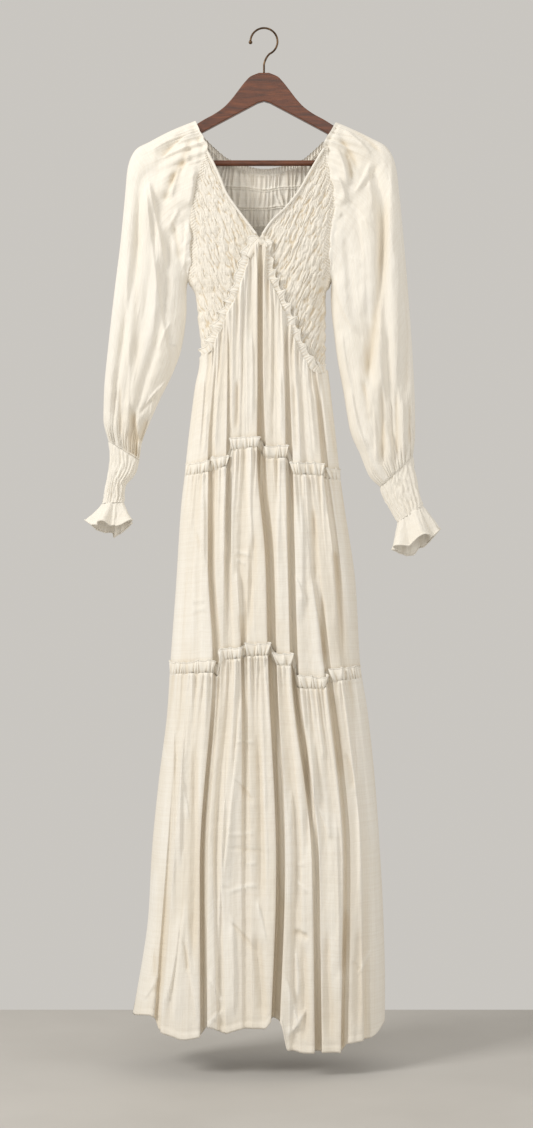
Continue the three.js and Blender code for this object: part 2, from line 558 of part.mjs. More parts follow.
// Half of the bodice front: rows run from its outer edge to the neck or the waist seam.
// Puckers are raised in the outside only.
function bodiceFront(arm, bottom) {
  const waistSide = WAIST_LINE.filter((point) => (point.x - NECK_POINT_X) * arm.sign >= 0);
  const seamHeights = raglanShares(arm.neckShare).slice(NECK_EDGE_STEPS)
    .map((share) => blend(arm.raglan[0].z, UNDERARM_Z, share));
  const heights = [...seamHeights, ...SIDE_SEAM_SHARES.map((share) => blend(UNDERARM_Z, bottom, share))];
  const lastRow = heights.length - 1;
  const rows = heights.map((z) => {
    const body = bodyAt(z, 0);
    const side = arm.sign < 0 ? body.left : body.right;
    const outer = z >= UNDERARM_Z ? along(arm.raglan, "z", "x", z) : side;
    const open = z > NECK_POINT_Z ? along(arm.neck, "z", "x", z) : along(waistSide, "z", "x", z);
    const inner = arm.sign < 0 ? Math.max(open, outer + BODICE_TIP) : Math.min(open, outer - BODICE_TIP);
    const row = [];
    for (let c = 0; c <= BODICE_COLUMNS; c += 1) {
      const x = blend(outer, inner, c / BODICE_COLUMNS);
      const seam = c === 0 && z < UNDERARM_Z ? SEAM_GAP / 2 : 0;
      row.push(new THREE.Vector3(x, frontY(x, z) - seam, z));
    }
    return row;
  });
  const inner = rows.map((row) => row.map((point, c) => {
    const tangent = row[Math.min(c + 1, BODICE_COLUMNS)].clone().sub(row[Math.max(c - 1, 0)]);
    const normal = tangent.cross(UP).multiplyScalar(-arm.sign).normalize();
    if (c === 0 && point.z <= UNDERARM_Z) normal.set(arm.sign, 0, 0);
    return point.clone().addScaledVector(normal, -CLOTH);
  }));
  rows.forEach((row, r) => row.forEach((point, c) => {
    const edge = c === 0 || c === BODICE_COLUMNS || r === 0 || r === lastRow;
    if (!edge && (c + r) % 2 === 0) point.y -= PUCKER_HEIGHT;
  }));
  return wall(rows, inner);
}

// Back of the bodice, drawn in along its rows of elastic
function bodiceBack() {
  const shares = [0, 0.1, 0.2, 0.3, 0.42, 0.58, 0.78, 1];
  const gap = 2 * SEAM_GAP;
  const rows = shares.map((down) => {
    const row = [];
    for (let c = 0; c <= BACK_COLUMNS; c += 1) {
      const across = c / BACK_COLUMNS;
      let x = blend(-CASING_HALF, CASING_HALF, across);
      let z = 0;
      for (let settle = 0; settle < 4; settle += 1) {
        const top = along(BACK_NECK, "x", "z", x) - CASING_HEIGHT - CASING_GAP;
        z = blend(top, along(BACK_WAIST, "x", "z", x) + SEAM_GAP, down);
        const body = bodyAt(z, 0);
        const left = z > UNDERARM_Z ? along(LEFT_RAGLAN_BACK, "z", "x", z) : body.left;
        const right = z > UNDERARM_Z ? along(RIGHT_RAGLAN_BACK, "z", "x", z) : body.right;
        x = blend(left + gap, right - gap, across);
      }
      const drawn = down > 0 && down < ELASTIC_SHARE && c % 2 === 1 ? PUCKER_HEIGHT : 0;
      const seam = c === 0 || c === BACK_COLUMNS ? SEAM_GAP / 2 : 0;
      row.push(new THREE.Vector3(x, backY(x, z) + seam + drawn, z));
    }
    return row;
  });
  const inner = rows.map((row) => row.map((point, c) => {
    const tangent = row[Math.min(c + 1, BACK_COLUMNS)].clone().sub(row[Math.max(c - 1, 0)]);
    const normal = UP.clone().cross(tangent).normalize();
    if (c === 0 && point.z <= UNDERARM_Z) normal.set(-1, 0, 0);
    if (c === BACK_COLUMNS && point.z <= UNDERARM_Z) normal.set(1, 0, 0);
    return point.clone().addScaledVector(normal, -CLOTH);
  }));
  return wall(rows, inner);
}

// Casing at the back of the neck, ruched on its elastic
function neckCasing() {
  const columns = CASING_RUCHES * 2;
  const rows = [0, 1].map((down) => {
    const row = [];
    for (let c = 0; c <= columns; c += 1) {
      const x = blend(-CASING_HALF, CASING_HALF, c / columns);
      const z = along(BACK_NECK, "x", "z", x) - down * CASING_HEIGHT;
      row.push(new THREE.Vector3(x, backY(x, z) + (c % 2 ? 1 : 0), z));
    }
    return row;
  });
  const inner = rows.map((row) => row.map((p) => new THREE.Vector3(p.x, backY(p.x, p.z) - CLOTH, p.z)));
  return wall(rows, inner);
}

// Narrow binding on the neck's front edge, lying on the bodice
function neckBinding(arm) {
  const rows = [];
  const first = arm.neck[0].z - 4;
  const last = NECK_POINT_Z + 5;
  for (let r = 0; r <= BINDING_STEPS; r += 1) {
    const z = blend(first, last, r / BINDING_STEPS);
    const edge = along(arm.neck, "z", "x", z) - arm.sign / 2;
    const places = [edge, edge + arm.sign * BINDING_WIDTH];
    rows.push(places.map((x) => new THREE.Vector3(x, frontY(x, z) - LAP - PUCKER_HEIGHT, z)));
  }
  return wall(rows, shifted(rows, -1));
}

// Raglan edge of a sleeve, on the front or the back, at a share of the way down
function raglanPoint(raglan, surface, down, neckShare) {
  const z = blend(raglan[0].z, UNDERARM_Z, down);
  const x = along(raglan, "z", "x", z);
  const rise = Math.min(down / neckShare, 1);
  return new THREE.Vector3(x, surface(x, z) * Math.sqrt(1 - (1 - rise) ** 2), z);
}

// Point of a sleeve, cuff or flounce section: across is 0 at its outer end and 1 at its inner end
function sectionPoint(section, across, isFront) {
  const round = Math.sqrt(1 - Math.abs(2 * across - 1) ** 3);
  const y = (isFront ? -section.front : section.back) * round;
  return new THREE.Vector3(
    blend(section.outX, section.inX, across), y, blend(section.outZ, section.inZ, across));
}

// Direction square to a section's plane, pointing towards the hand
function sectionAxis(section) {
  const across = new THREE.Vector3(section.inX - section.outX, 0, section.inZ - section.outZ);
  const axis = across.cross(new THREE.Vector3(0, 1, 0)).normalize();
  return axis.z > 0 ? axis.negate() : axis;
}

function sleeve(sections, arm) {
  const front = raglanShares(arm.neckShare);
  const back = [0.96, 0.87, 0.7, 0.5, 0.31, 0.16, 0.07, 0.02];
  const places = [
    ...front.map((across) => ({ across, isFront: true })),
    ...back.map((across) => ({ across, isFront: false })),
  ];
  const last = sections.length - 1;
  const rings = sections.map((section, r) => places.map(({ across, isFront }) => {
    const point = sectionPoint(section, across, isFront);
    const share = RAGLAN_FADE[r] ?? 0;
    if (share > 0) {
      const seam = isFront
        ? raglanPoint(arm.raglan, frontY, across, arm.neckShare)
        : raglanPoint(arm.raglanBack, backY, across, BACK_NECK_SHARE);
      point.addScaledVector(seam.sub(sectionPoint(sections[0], across, isFront)), share);
    }
    if (isFront && r > 0) {
      const down = r / last;
      const fade = Math.min(1, r / 3) * Math.min(1, (last - r) / 2);
      arm.valleys.forEach((valley) => {
        const place = down < 0.5
          ? blend(valley.top, valley.elbow, down * 2)
          : blend(valley.elbow, valley.cuff, down * 2 - 1);
        point.y += valley.depth * fade * bump(across - place, valley.width);
      });
    }
    if (r === 0) point.x += arm.sign * SEAM_GAP;
    return point;
  }));
  const axes = sections.map((section, r) => (r === 0 ? new THREE.Vector3(arm.sign, 0, 0) : sectionAxis(section)));
  return wall(rings, insideOfTube(rings, axes, arm.sign), true);
}

// Tube through the sections of a cuff or flounce, with ripples that grow towards its last section
function ripplingTube(sections, arm, around, ripples) {
  const rings = sections.map((section, r) => {
    const down = r / (sections.length - 1);
    const centre = sectionPoint(section, 0.5, true).setY(0);
    const ring = [];
    for (let c = 0; c < around; c += 1) {
      const turn = (2 * c) / around;
      const isFront = turn <= 1;
      const across = (1 - Math.cos(Math.PI * turn)) / 2;
      const point = sectionPoint(section, across, isFront);
      const wave = Math.cos((2 * Math.PI * ripples.waves * c) / around);
      const away = point.clone().sub(centre).normalize();
      point.addScaledVector(away, blend(ripples.first, ripples.last, down) * wave);
      point.z += ripples.edge * down * wave;
      ring.push(point);
    }
    return ring;
  });
  return wall(rings, insideOfTube(rings, sections.map(sectionAxis), arm.sign), true);
}

function hangerBody() {
  const outline = new THREE.Shape();
  outline.moveTo(0, BOARD.underMiddle);
  BOARD_UNDER.slice().reverse().forEach((p) => outline.lineTo(-p.x, p.z));
  const { startTurn, endTurn } = BOARD_END;
  outline.absarc(-BOARD_END.x, BOARD_END.z, BOARD_END.radius, -Math.PI - endTurn, -Math.PI - startTurn, true);
  BOARD_TOP.slice().reverse().forEach((p) => outline.lineTo(-p.x, p.z));
  BOARD_TOP.forEach((p) => outline.lineTo(p.x, p.z));
  outline.absarc(BOARD_END.x, BOARD_END.z, BOARD_END.radius, startTurn, endTurn, true);
  BOARD_UNDER.forEach((p) => outline.lineTo(p.x, p.z));
  const geometry = new THREE.ExtrudeGeometry(outline, {
    depth: BOARD.thickness - 2 * BOARD.bevel, curveSegments: BOARD.curveSegments, bevelEnabled: true,
    bevelThickness: BOARD.bevel, bevelSize: BOARD.bevel, bevelOffset: -BOARD.bevel, bevelSegments: 1,
  });
  geometry.rotateX(Math.PI / 2);
  geometry.translate(0, BOARD.thickness / 2 - BOARD.bevel, 0);
  return geometry;
}

// The dress's pieces, by name
const LEFT_ARM = {
  sign: -1, neck: LEFT_NECK, neckShare: 0.198, raglan: LEFT_RAGLAN, raglanBack: LEFT_RAGLAN_BACK,
  valleys: LEFT_SLEEVE_VALLEYS,
};
const RIGHT_ARM = {
  sign: 1, neck: RIGHT_NECK, neckShare: 0.169, raglan: RIGHT_RAGLAN, raglanBack: RIGHT_RAGLAN_BACK,
  valleys: RIGHT_SLEEVE_VALLEYS,
};

function upperTier(half) {
  return tier(half, {
    top: half.waist, topShift: 0, bottom: half.upperTop, bottomShift: SEAM_ABOVE,
    proud: WAIST_LAP, settle: WAIST_SETTLE, rows: [0, 0.12, 0.3, 0.5, 0.75, 1],
  });
}

function middleTier(half) {
  return tier(half, {
    top: half.upperTop, topShift: SEAM_BELOW, bottom: half.lowerTop, bottomShift: SEAM_ABOVE,
    proud: 0, settle: 0, rows: [0, 0.14, 0.4, 0.7, 1],
  });
}

function lowerTier(half) {
  return tier(half, {
    top: half.lowerTop, topShift: SEAM_BELOW, bottom: half.hem, bottomShift: 0,
    proud: 0, settle: 0, rows: [0, 0.1, 0.35, 0.68, 1],
  });
}

const dressPieces = {
  bodice_front_left: bodiceFront(LEFT_ARM, -526),
  bodice_front_right: bodiceFront(RIGHT_ARM, -545),
  bodice_back: bodiceBack(),
  neck_binding_left: neckBinding(LEFT_ARM),
  neck_binding_right: neckBinding(RIGHT_ARM),
  neck_casing_back: neckCasing(),
  sleeve_left: sleeve(LEFT_SLEEVE, LEFT_ARM),
  sleeve_right: sleeve(RIGHT_SLEEVE, RIGHT_ARM),
  cuff_left: ripplingTube(LEFT_CUFF, LEFT_ARM, CUFF_STEPS, SHIRRING),
  cuff_right: ripplingTube(RIGHT_CUFF, RIGHT_ARM, CUFF_STEPS, SHIRRING),
  cuff_flounce_left: ripplingTube(LEFT_FLOUNCE, LEFT_ARM, FLOUNCE_STEPS, FLOUNCE_WAVES),
  cuff_flounce_right: ripplingTube(RIGHT_FLOUNCE, RIGHT_ARM, FLOUNCE_STEPS, FLOUNCE_WAVES),
  waist_frill_left: waistFrill(FRONT, -98, -13, FRILL_WAVES.waist),
  waist_frill_right: waistFrill(FRONT, -5, 96, FRILL_WAVES.waist),
  waist_frill_back: waistFrill(BACK, -97, 95, FRILL_WAVES.waist),
  upper_tier_front: upperTier(FRONT),
  upper_tier_back: upperTier(BACK),
  middle_tier_front: middleTier(FRONT),
  middle_tier_back: middleTier(BACK),
  lower_tier_front: lowerTier(FRONT),
  lower_tier_back: lowerTier(BACK),
  seam_frill_upper_front: seamFrill(FRONT, FRONT.upperTop, FRILL_WAVES.upperFront),
  seam_frill_upper_back: seamFrill(BACK, BACK.upperTop, FRILL_WAVES.upperBack),
  seam_frill_lower_front: seamFrill(FRONT, FRONT.lowerTop, FRILL_WAVES.lowerFront),
  seam_frill_lower_back: seamFrill(BACK, BACK.lowerTop, FRILL_WAVES.lowerBack),
};

// Solid of round rings along a path in the hanger's plane, each with its own radius
function wireAlong(stations) {
  const last = stations.length - 1;
  const positions = [];
  stations.forEach((station, i) => {
    const ahead = stations[Math.min(i + 1, last)].at.clone().sub(stations[Math.max(i - 1, 0)].at).normalize();
    const across = new THREE.Vector3(-ahead.z, 0, ahead.x);
    for (let k = 0; k < HOOK.sides; k += 1) {
      const turn = (2 * Math.PI * k) / HOOK.sides;
      const place = station.at.clone().addScaledVector(across, station.radius * Math.cos(turn));
      positions.push(place.x, place.y + station.radius * Math.sin(turn), place.z);
    }
  });
  const faces = [];
  for (let k = 0; k < HOOK.sides; k += 1) {
    const next = (k + 1) % HOOK.sides;
    for (let i = 0; i < last; i += 1) {
      const ring = i * HOOK.sides;
      faces.push(ring + k, ring + next, ring + HOOK.sides + next);
      faces.push(ring + k, ring + HOOK.sides + next, ring + HOOK.sides + k);
    }
    if (k > 1) {
      const end = last * HOOK.sides;
      faces.push(0, k, k - 1);
      faces.push(end, end + k - 1, end + k);
    }
  }
  const geometry = new THREE.BufferGeometry();
  geometry.setAttribute("position", new THREE.Float32BufferAttribute(positions, 3));
  geometry.setIndex(pointOut(faces, positions));
  geometry.computeVertexNormals();
  return geometry;
}

// Wire hook with a ball at its tip
function hangerHook() {
  const onRing = (turn) => {
    return new THREE.Vector3(HOOK.ring * Math.cos(turn), 0, HOOK.centreZ + HOOK.ring * Math.sin(turn));
  };
  const ball = BALL_STATIONS.map((share) => ({
    at: onRing(HOOK.startTurn - (share * HOOK.ball) / HOOK.ring),
    radius: HOOK.ball * Math.sqrt(1 - share ** 2),
  }));
  const neckTurn = HOOK.startTurn - HOOK.ball / HOOK.ring;
  const points = [];
  for (let i = 0; i <= HOOK_RING_STEPS; i += 1) {
    points.push(onRing(blend(neckTurn, HOOK.endTurn, i / HOOK_RING_STEPS)));
  }
  HOOK_STEM.forEach((p) => points.push(new THREE.Vector3(p.x, 0, p.z)));
  const wire = new THREE.CatmullRomCurve3(points).getSpacedPoints(HOOK_STEPS);
  return wireAlong([...ball, ...wire.map((at) => ({ at, radius: HOOK.wire }))]);
}

function hangerBar() {
  const bar = new THREE.CylinderGeometry(BAR.radius, BAR.radius, 2 * BAR.half, BAR.sides);
  bar.rotateZ(Math.PI / 2);
  bar.translate(0, 0, BAR.z);
  return bar;
}

const hangerPieces = {
  hanger_body: { geometry: hangerBody(), material: CHERRY_WOOD },
  hanger_bar: { geometry: hangerBar(), material: CHERRY_WOOD },
  hanger_hook: { geometry: hangerHook(), material: DARK_BRONZE },
};

const dress = new THREE.Group();
for (const [name, geometry] of Object.entries(dressPieces)) {
  const mesh = new THREE.Mesh(geometry, IVORY.clone());
  mesh.name = name;
  dress.add(mesh);
}
for (const [name, { geometry, material }] of Object.entries(hangerPieces)) {
  const mesh = new THREE.Mesh(geometry, material.clone());
  mesh.name = name;
  dress.add(mesh);
}

export default dress;
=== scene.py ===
"""Looks of a tiered gauze peasant dress that hangs flat on a wooden hanger.

Sizes are in millimetres in the tables and are turned into metres where meshes are made.
X is to the viewer's right, the front faces -Y and Z is up. The origin is the hook's inner crown.
"""
import math

import bpy
import numpy as np
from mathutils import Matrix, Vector


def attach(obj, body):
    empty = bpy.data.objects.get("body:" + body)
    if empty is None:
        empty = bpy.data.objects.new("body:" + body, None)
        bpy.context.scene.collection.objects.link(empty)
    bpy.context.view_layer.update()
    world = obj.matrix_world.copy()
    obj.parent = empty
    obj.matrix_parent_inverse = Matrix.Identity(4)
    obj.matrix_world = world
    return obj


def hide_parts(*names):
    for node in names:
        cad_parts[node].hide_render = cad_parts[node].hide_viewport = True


# Driving sizes in millimetres. MM turns them into metres.
MM = 0.001
CLOTH = 2.0
SEAM_GAP = 0.3
LAP = CLOTH + SEAM_GAP
UNDERARM_Z = -404.0
NECK_POINT_Z = -338.0
NECK_POINT_X = -6.0

# How far a cloth runs under or over its neighbour at a seam
CASING_TUCK = 4.0
SEAM_TUCK = 3.0
WAIST_TUCK = 6.0
SIDE_LAP = 3.0

# Top of the skirt: how proud it lies, how far down its folds settle, and the ledge inside its edge
WAIST_PROUD = 0.8
WAIST_LAP = LAP + WAIST_PROUD + SEAM_GAP
WAIST_SETTLE = 70.0
LEDGE_RISE = 3.0
LEDGE_INSIDE = 0.6

# Frills, with the rolled cord along their rims
FRILL_HEIGHT = 14.5
FRILL_TALLER = 2.5
FRILL_BRIDGE = 4.0
ROLLED_EDGE = 1.2
ROLLED_SIDES = 6

# Neck, bodice and hem
BINDING_WIDTH = 4.8
CASING_HEIGHT = 12.0
CASING_HALF = 96.0
CASING_GAP = 1.3
BODICE_TIP = 3.0
PUCKER = 1.3
ELASTIC_ROWS = (-252.8, -283.2, -313.6)
ELASTIC_PAIR = 1.5
HEM_DEPTH = 11.0

# Shares and powers, which have no unit
CROWN_POWER = 4
CHANNEL_DEEPER = 0.97
WAIST_NARROWER = 0.6
BACK_NECK_SHARE = 0.1

# The floor, in metres
FLOOR_Z = -1.66
FLOOR_REACH = (4.0, 4.0, 0.42)

# Camera of the photograph: frame height and centre in millimetres, and how far off it stands
FRAME_HEIGHT = 1805.0
FRAME_CENTRE_X = 4.0
FRAME_CENTRE_Z = -856.0
CAMERA_DISTANCE = 3300.0
SENSOR = 36.0


def table(names, *rows):
    """Named columns from rows of numbers"""
    return dict(zip(names.split(), np.array(rows, float).T))


# Body of the dress from the neck to the hem
BODY = table(
    "z left right side front back",
    (-140, -175, 175, 0, 18, 13),
    (-200, -150, 148, 0, 27, 15),
    (-300, -135, 129, 0, 33, 18),
    (-404, -121, 108, 1, 35, 20),
    (-426, -109, 99, 1, 35, 21),
    (-460, -105, 98, 2, 34, 22),
    (-530, -100, 98, 3, 34, 24),
    (-573, -108, 103, 3, 37, 27),
    (-655, -120, 114, 4, 42, 31),
    (-713, -127, 121.5, 4, 45, 34),
    (-766, -133, 129, 4, 48, 36),
    (-890, -141, 147, 5, 53, 40),
    (-1014, -150, 154, 5, 56, 43),
    (-1092, -155, 166, 5, 60, 46),
    (-1206, -169, 178, 6, 64, 49),
    (-1320, -180, 186, 6, 68, 52),
    (-1414, -185, 191, 6, 72, 55),
    (-1536, -203, 194, 6, 76, 58),
    (-1630, -222, 193, 6, 78, 60),
)

# Heights at which the skirt's folds are placed: waist, upper seam, middle, lower seam, knee, hem
LEVELS = np.array([-540.0, -695.0, -850.0, -1010.0, -1330.0, -1600.0])

# Each valley of the front: where it runs at those heights, and its width
FRONT_VALLEYS = table(
    "waist upper middle lower knee hem width",
    (-90, -108, -117, -126, -148, -169, 8),
    (-74, -83, -83, -75, -95, -94, 8),
    (-54, -55, -57, -54, -72, -66, 7),
    (-32, -32, -34, -31, -28, -26, 7),
    (-6, -4, 9, 13, 26, 17, 10),
    (16, 18, 26, 30, 52, 48, 7),
    (36, 40, 43.5, 48, 81, 85, 8),
    (60, 68, 80, 99, 130, 126, 8),
    (82, 96, 115, 128, 160, 162, 7),
)
FRONT_DEPTHS = table(
    "waist upper middle lower knee hem",
    (3, 2, 5, 4, 13, 17),
    (6, 12, 15, 13, 20, 23),
    (7, 12, 10, 4, 8, 6),
    (5, 2, 3, 12, 6, 4),
    (13, 17, 19, 20, 26, 30),
    (5, 2, 2, 3, 5, 4),
    (8, 13, 15, 16, 12, 22),
    (4, 3, 6, 15, 12, 16),
    (6, 12, 11, 5, 7, 10),
)
BACK_VALLEYS = table(
    "waist upper middle lower knee hem width",
    (-76, -92, -102, -108, -132, -150, 9),
    (-46, -50, -56, -58, -72, -84, 9),
    (-14, -10, -12, -6, -8, -12, 10),
    (18, 26, 30, 38, 50, 52, 8),
    (50, 62, 74, 84, 104, 112, 9),
    (78, 94, 110, 124, 148, 156, 8),
)
BACK_DEPTHS = table(
    "waist upper middle lower knee hem",
    (4, 8, 10, 12, 14, 16),
    (5, 10, 12, 11, 17, 20),
    (6, 12, 12, 15, 19, 22),
    (4, 8, 10, 11, 12, 13),
    (5, 10, 12, 14, 17, 20),
    (4, 7, 9, 10, 13, 15),
)

# Seams, frill tops and hems
WAIST_LINE = table(
    "x z",
    (-103, -528), (-84, -513), (-74, -492), (-56, -454), (-39, -419), (-30, -391),
    (-21, -360), (-6, -345), (-1, -353), (6, -395), (16.5, -422), (34, -460),
    (48, -499), (65, -533), (85, -550), (103, -546),
)
UPPER_FRILL_TOP = table(
    "x z",
    (-130, -701), (-88, -695), (-79, -690), (-60, -687), (-50, -661), (-12, -657),
    (3, -673), (36, -674), (45, -699), (92, -701), (99, -706), (124, -707),
)
LOWER_FRILL_TOP = table(
    "x z",
    (-153, -1016), (-82, -1012), (-74, -1018), (-65, -992), (-34, -989), (-28, -986),
    (6, -985), (21, -1000), (44, -1001), (53, -1036), (94, -1037), (103, -1027),
    (158, -1022),
)
FRONT_HEM = table(
    "x z",
    (-214, -1574), (-176, -1568), (-164, -1590), (-130, -1600), (-100, -1595),
    (-88, -1581), (-60, -1590), (-28, -1583), (0, -1583), (14, -1570), (26, -1574),
    (37, -1616), (74, -1621), (120, -1622), (132, -1608), (162, -1606), (194, -1585),
)
BACK_WAIST = table("x z", (-103, -530), (0, -522), (80, -552), (103, -549))
UPPER_FRILL_TOP_BACK = table(
    "x z",
    (-130, -701), (-70, -694), (-30, -700), (10, -692), (50, -698), (90, -696), (124, -707),
)
LOWER_FRILL_TOP_BACK = table(
    "x z",
    (-153, -1016), (-84, -1008), (-32, -1015), (20, -1006), (64, -1016), (110, -1010),
    (158, -1022),
)
BACK_HEM = table(
    "x z",
    (-214, -1571), (-190, -1569), (-120, -1584), (-46, -1576), (20, -1574), (82, -1588),
    (134, -1592), (180, -1585), (194, -1581),
)

# Edge of the V neck, and the raglan seams
LEFT_NECK = table(
    "z x",
    (-198, -90), (-218, -80), (-242, -69), (-266, -59.5), (-284, -48), (-303, -34),
    (-330, -13.5), (-338, -7.8),
)
RIGHT_NECK = table(
    "z x",
    (-192, 96), (-220, 79.5), (-240, 68), (-260, 57), (-290, 34), (-314, 9.6), (-338, -6.5),
)
LEFT_RAGLAN = table(
    "z x",
    (-147, -110), (-167, -102), (-198, -92), (-231, -104), (-260, -113), (-297, -117),
    (-356, -117.5), (-404, -121),
)
RIGHT_RAGLAN = table(
    "z x",
    (-149, 115), (-170, 105), (-192, 98), (-211, 101), (-238, 107), (-268, 112),
    (-292, 112.5), (-318, 107.5), (-350, 105), (-391, 105), (-404, 108),
)
LEFT_RAGLAN_BACK = table(
    "z x",
    (-147, -110), (-171, -98), (-230, -105), (-280, -113), (-360, -117.5), (-404, -121),
)
RIGHT_RAGLAN_BACK = table(
    "z x",
    (-149, 115), (-172, 101), (-230, 101), (-280, 104), (-360, 105), (-404, 108),
)
BACK_NECK = table(
    "x z",
    (-98, -169), (-80, -187), (-55, -206), (0, -221), (58, -208), (82, -190), (101, -171),
)

# Sections of the sleeves, cuffs and flounces: outer end, inner end, and depth in front and behind
SECTION = "step outX outZ inX inZ front back"
LEFT_SLEEVE = table(
    SECTION,
    (0, -110, -147, -121, -404, 27, 15),
    (1, -147, -162, -123, -410, 27, 17),
    (2, -182, -180, -124, -418, 26, 18),
    (3, -205, -193, -124, -430, 25, 19),
    (4, -218, -222, -124, -450, 25, 20),
    (5, -223, -274, -127, -482, 26, 20),
    (6, -230, -345, -133, -515, 26, 20),
    (7, -240, -425, -146, -551, 25, 20),
    (8, -249, -505, -166, -592, 23, 19),
    (9, -256, -580, -185, -635, 21, 17),
    (10, -257, -624, -195, -661, 18, 15),
    (11, -249, -660, -199.5, -690, 14, 12),
)
LEFT_CUFF = table(
    SECTION,
    (0, -249, -660.4, -199.5, -690.4, 13, 12),
    (1, -246, -682, -208, -714, 13, 12),
    (2, -249, -708, -222, -730, 13, 12),
    (3, -254, -737, -224, -746, 13, 12),
    (4, -258, -759, -224, -757, 14, 13),
)
LEFT_FLOUNCE = table(
    SECTION,
    (0, -258, -759.4, -224, -757.4, 14, 13),
    (1, -269, -776, -218, -774, 19, 17),
    (2, -280, -790, -212, -789, 24, 22),
)
RIGHT_SLEEVE = table(
    SECTION,
    (0, 115, -149, 108, -404, 27, 15),
    (1, 141, -160, 108, -410, 27, 17),
    (2, 170, -174, 107, -418, 26, 18),
    (3, 196, -189, 107, -432, 25, 19),
    (4, 210, -216, 108, -452, 25, 20),
    (5, 217, -268, 112, -486, 26, 20),
    (6, 224, -342, 117, -525, 26, 20),
    (7, 232, -440, 128, -586, 25, 20),
    (8, 238, -524, 138, -644, 23, 19),
    (9, 241.5, -602, 153, -679, 21, 17),
    (10, 242, -646, 170, -718, 18, 15),
    (11, 238.5, -684, 186, -733, 14, 12),
)
RIGHT_CUFF = table(
    SECTION,
    (0, 238.5, -684.4, 186, -733.4, 13, 12),
    (1, 240, -702, 189.5, -745, 13, 12),
    (2, 244.5, -724, 195, -757, 13, 12),
    (3, 249, -745, 202, -769, 13, 12),
    (4, 253.5, -762, 213, -789, 14, 13),
)
RIGHT_FLOUNCE = table(
    SECTION,
    (0, 253.6, -762.4, 213.1, -789.4, 14, 13),
    (1, 266, -782, 209, -811, 19, 17),
    (2, 278, -804, 205, -831, 24, 22),
)
RAGLAN_FADE = table("step fade", (0, 1), (1, 0.55), (2, 0.2), (3, 0), (11, 0))

# Long soft valleys down the sleeves, placed from the outer end (0) to the inner end (1)
VALLEY_STEPS = np.array([0.0, 0.5, 1.0])
LEFT_SLEEVE_VALLEYS = table(
    "top elbow cuff width depth",
    (0.18, 0.24, 0.26, 0.06, 6),
    (0.4, 0.48, 0.46, 0.07, 4),
    (0.62, 0.7, 0.72, 0.06, 5),
)
RIGHT_SLEEVE_VALLEYS = table(
    "top elbow cuff width depth",
    (0.12, 0.3, 0.52, 0.07, 9),
    (0.42, 0.55, 0.74, 0.06, 4),
    (0.66, 0.76, 0.3, 0.06, 3),
)

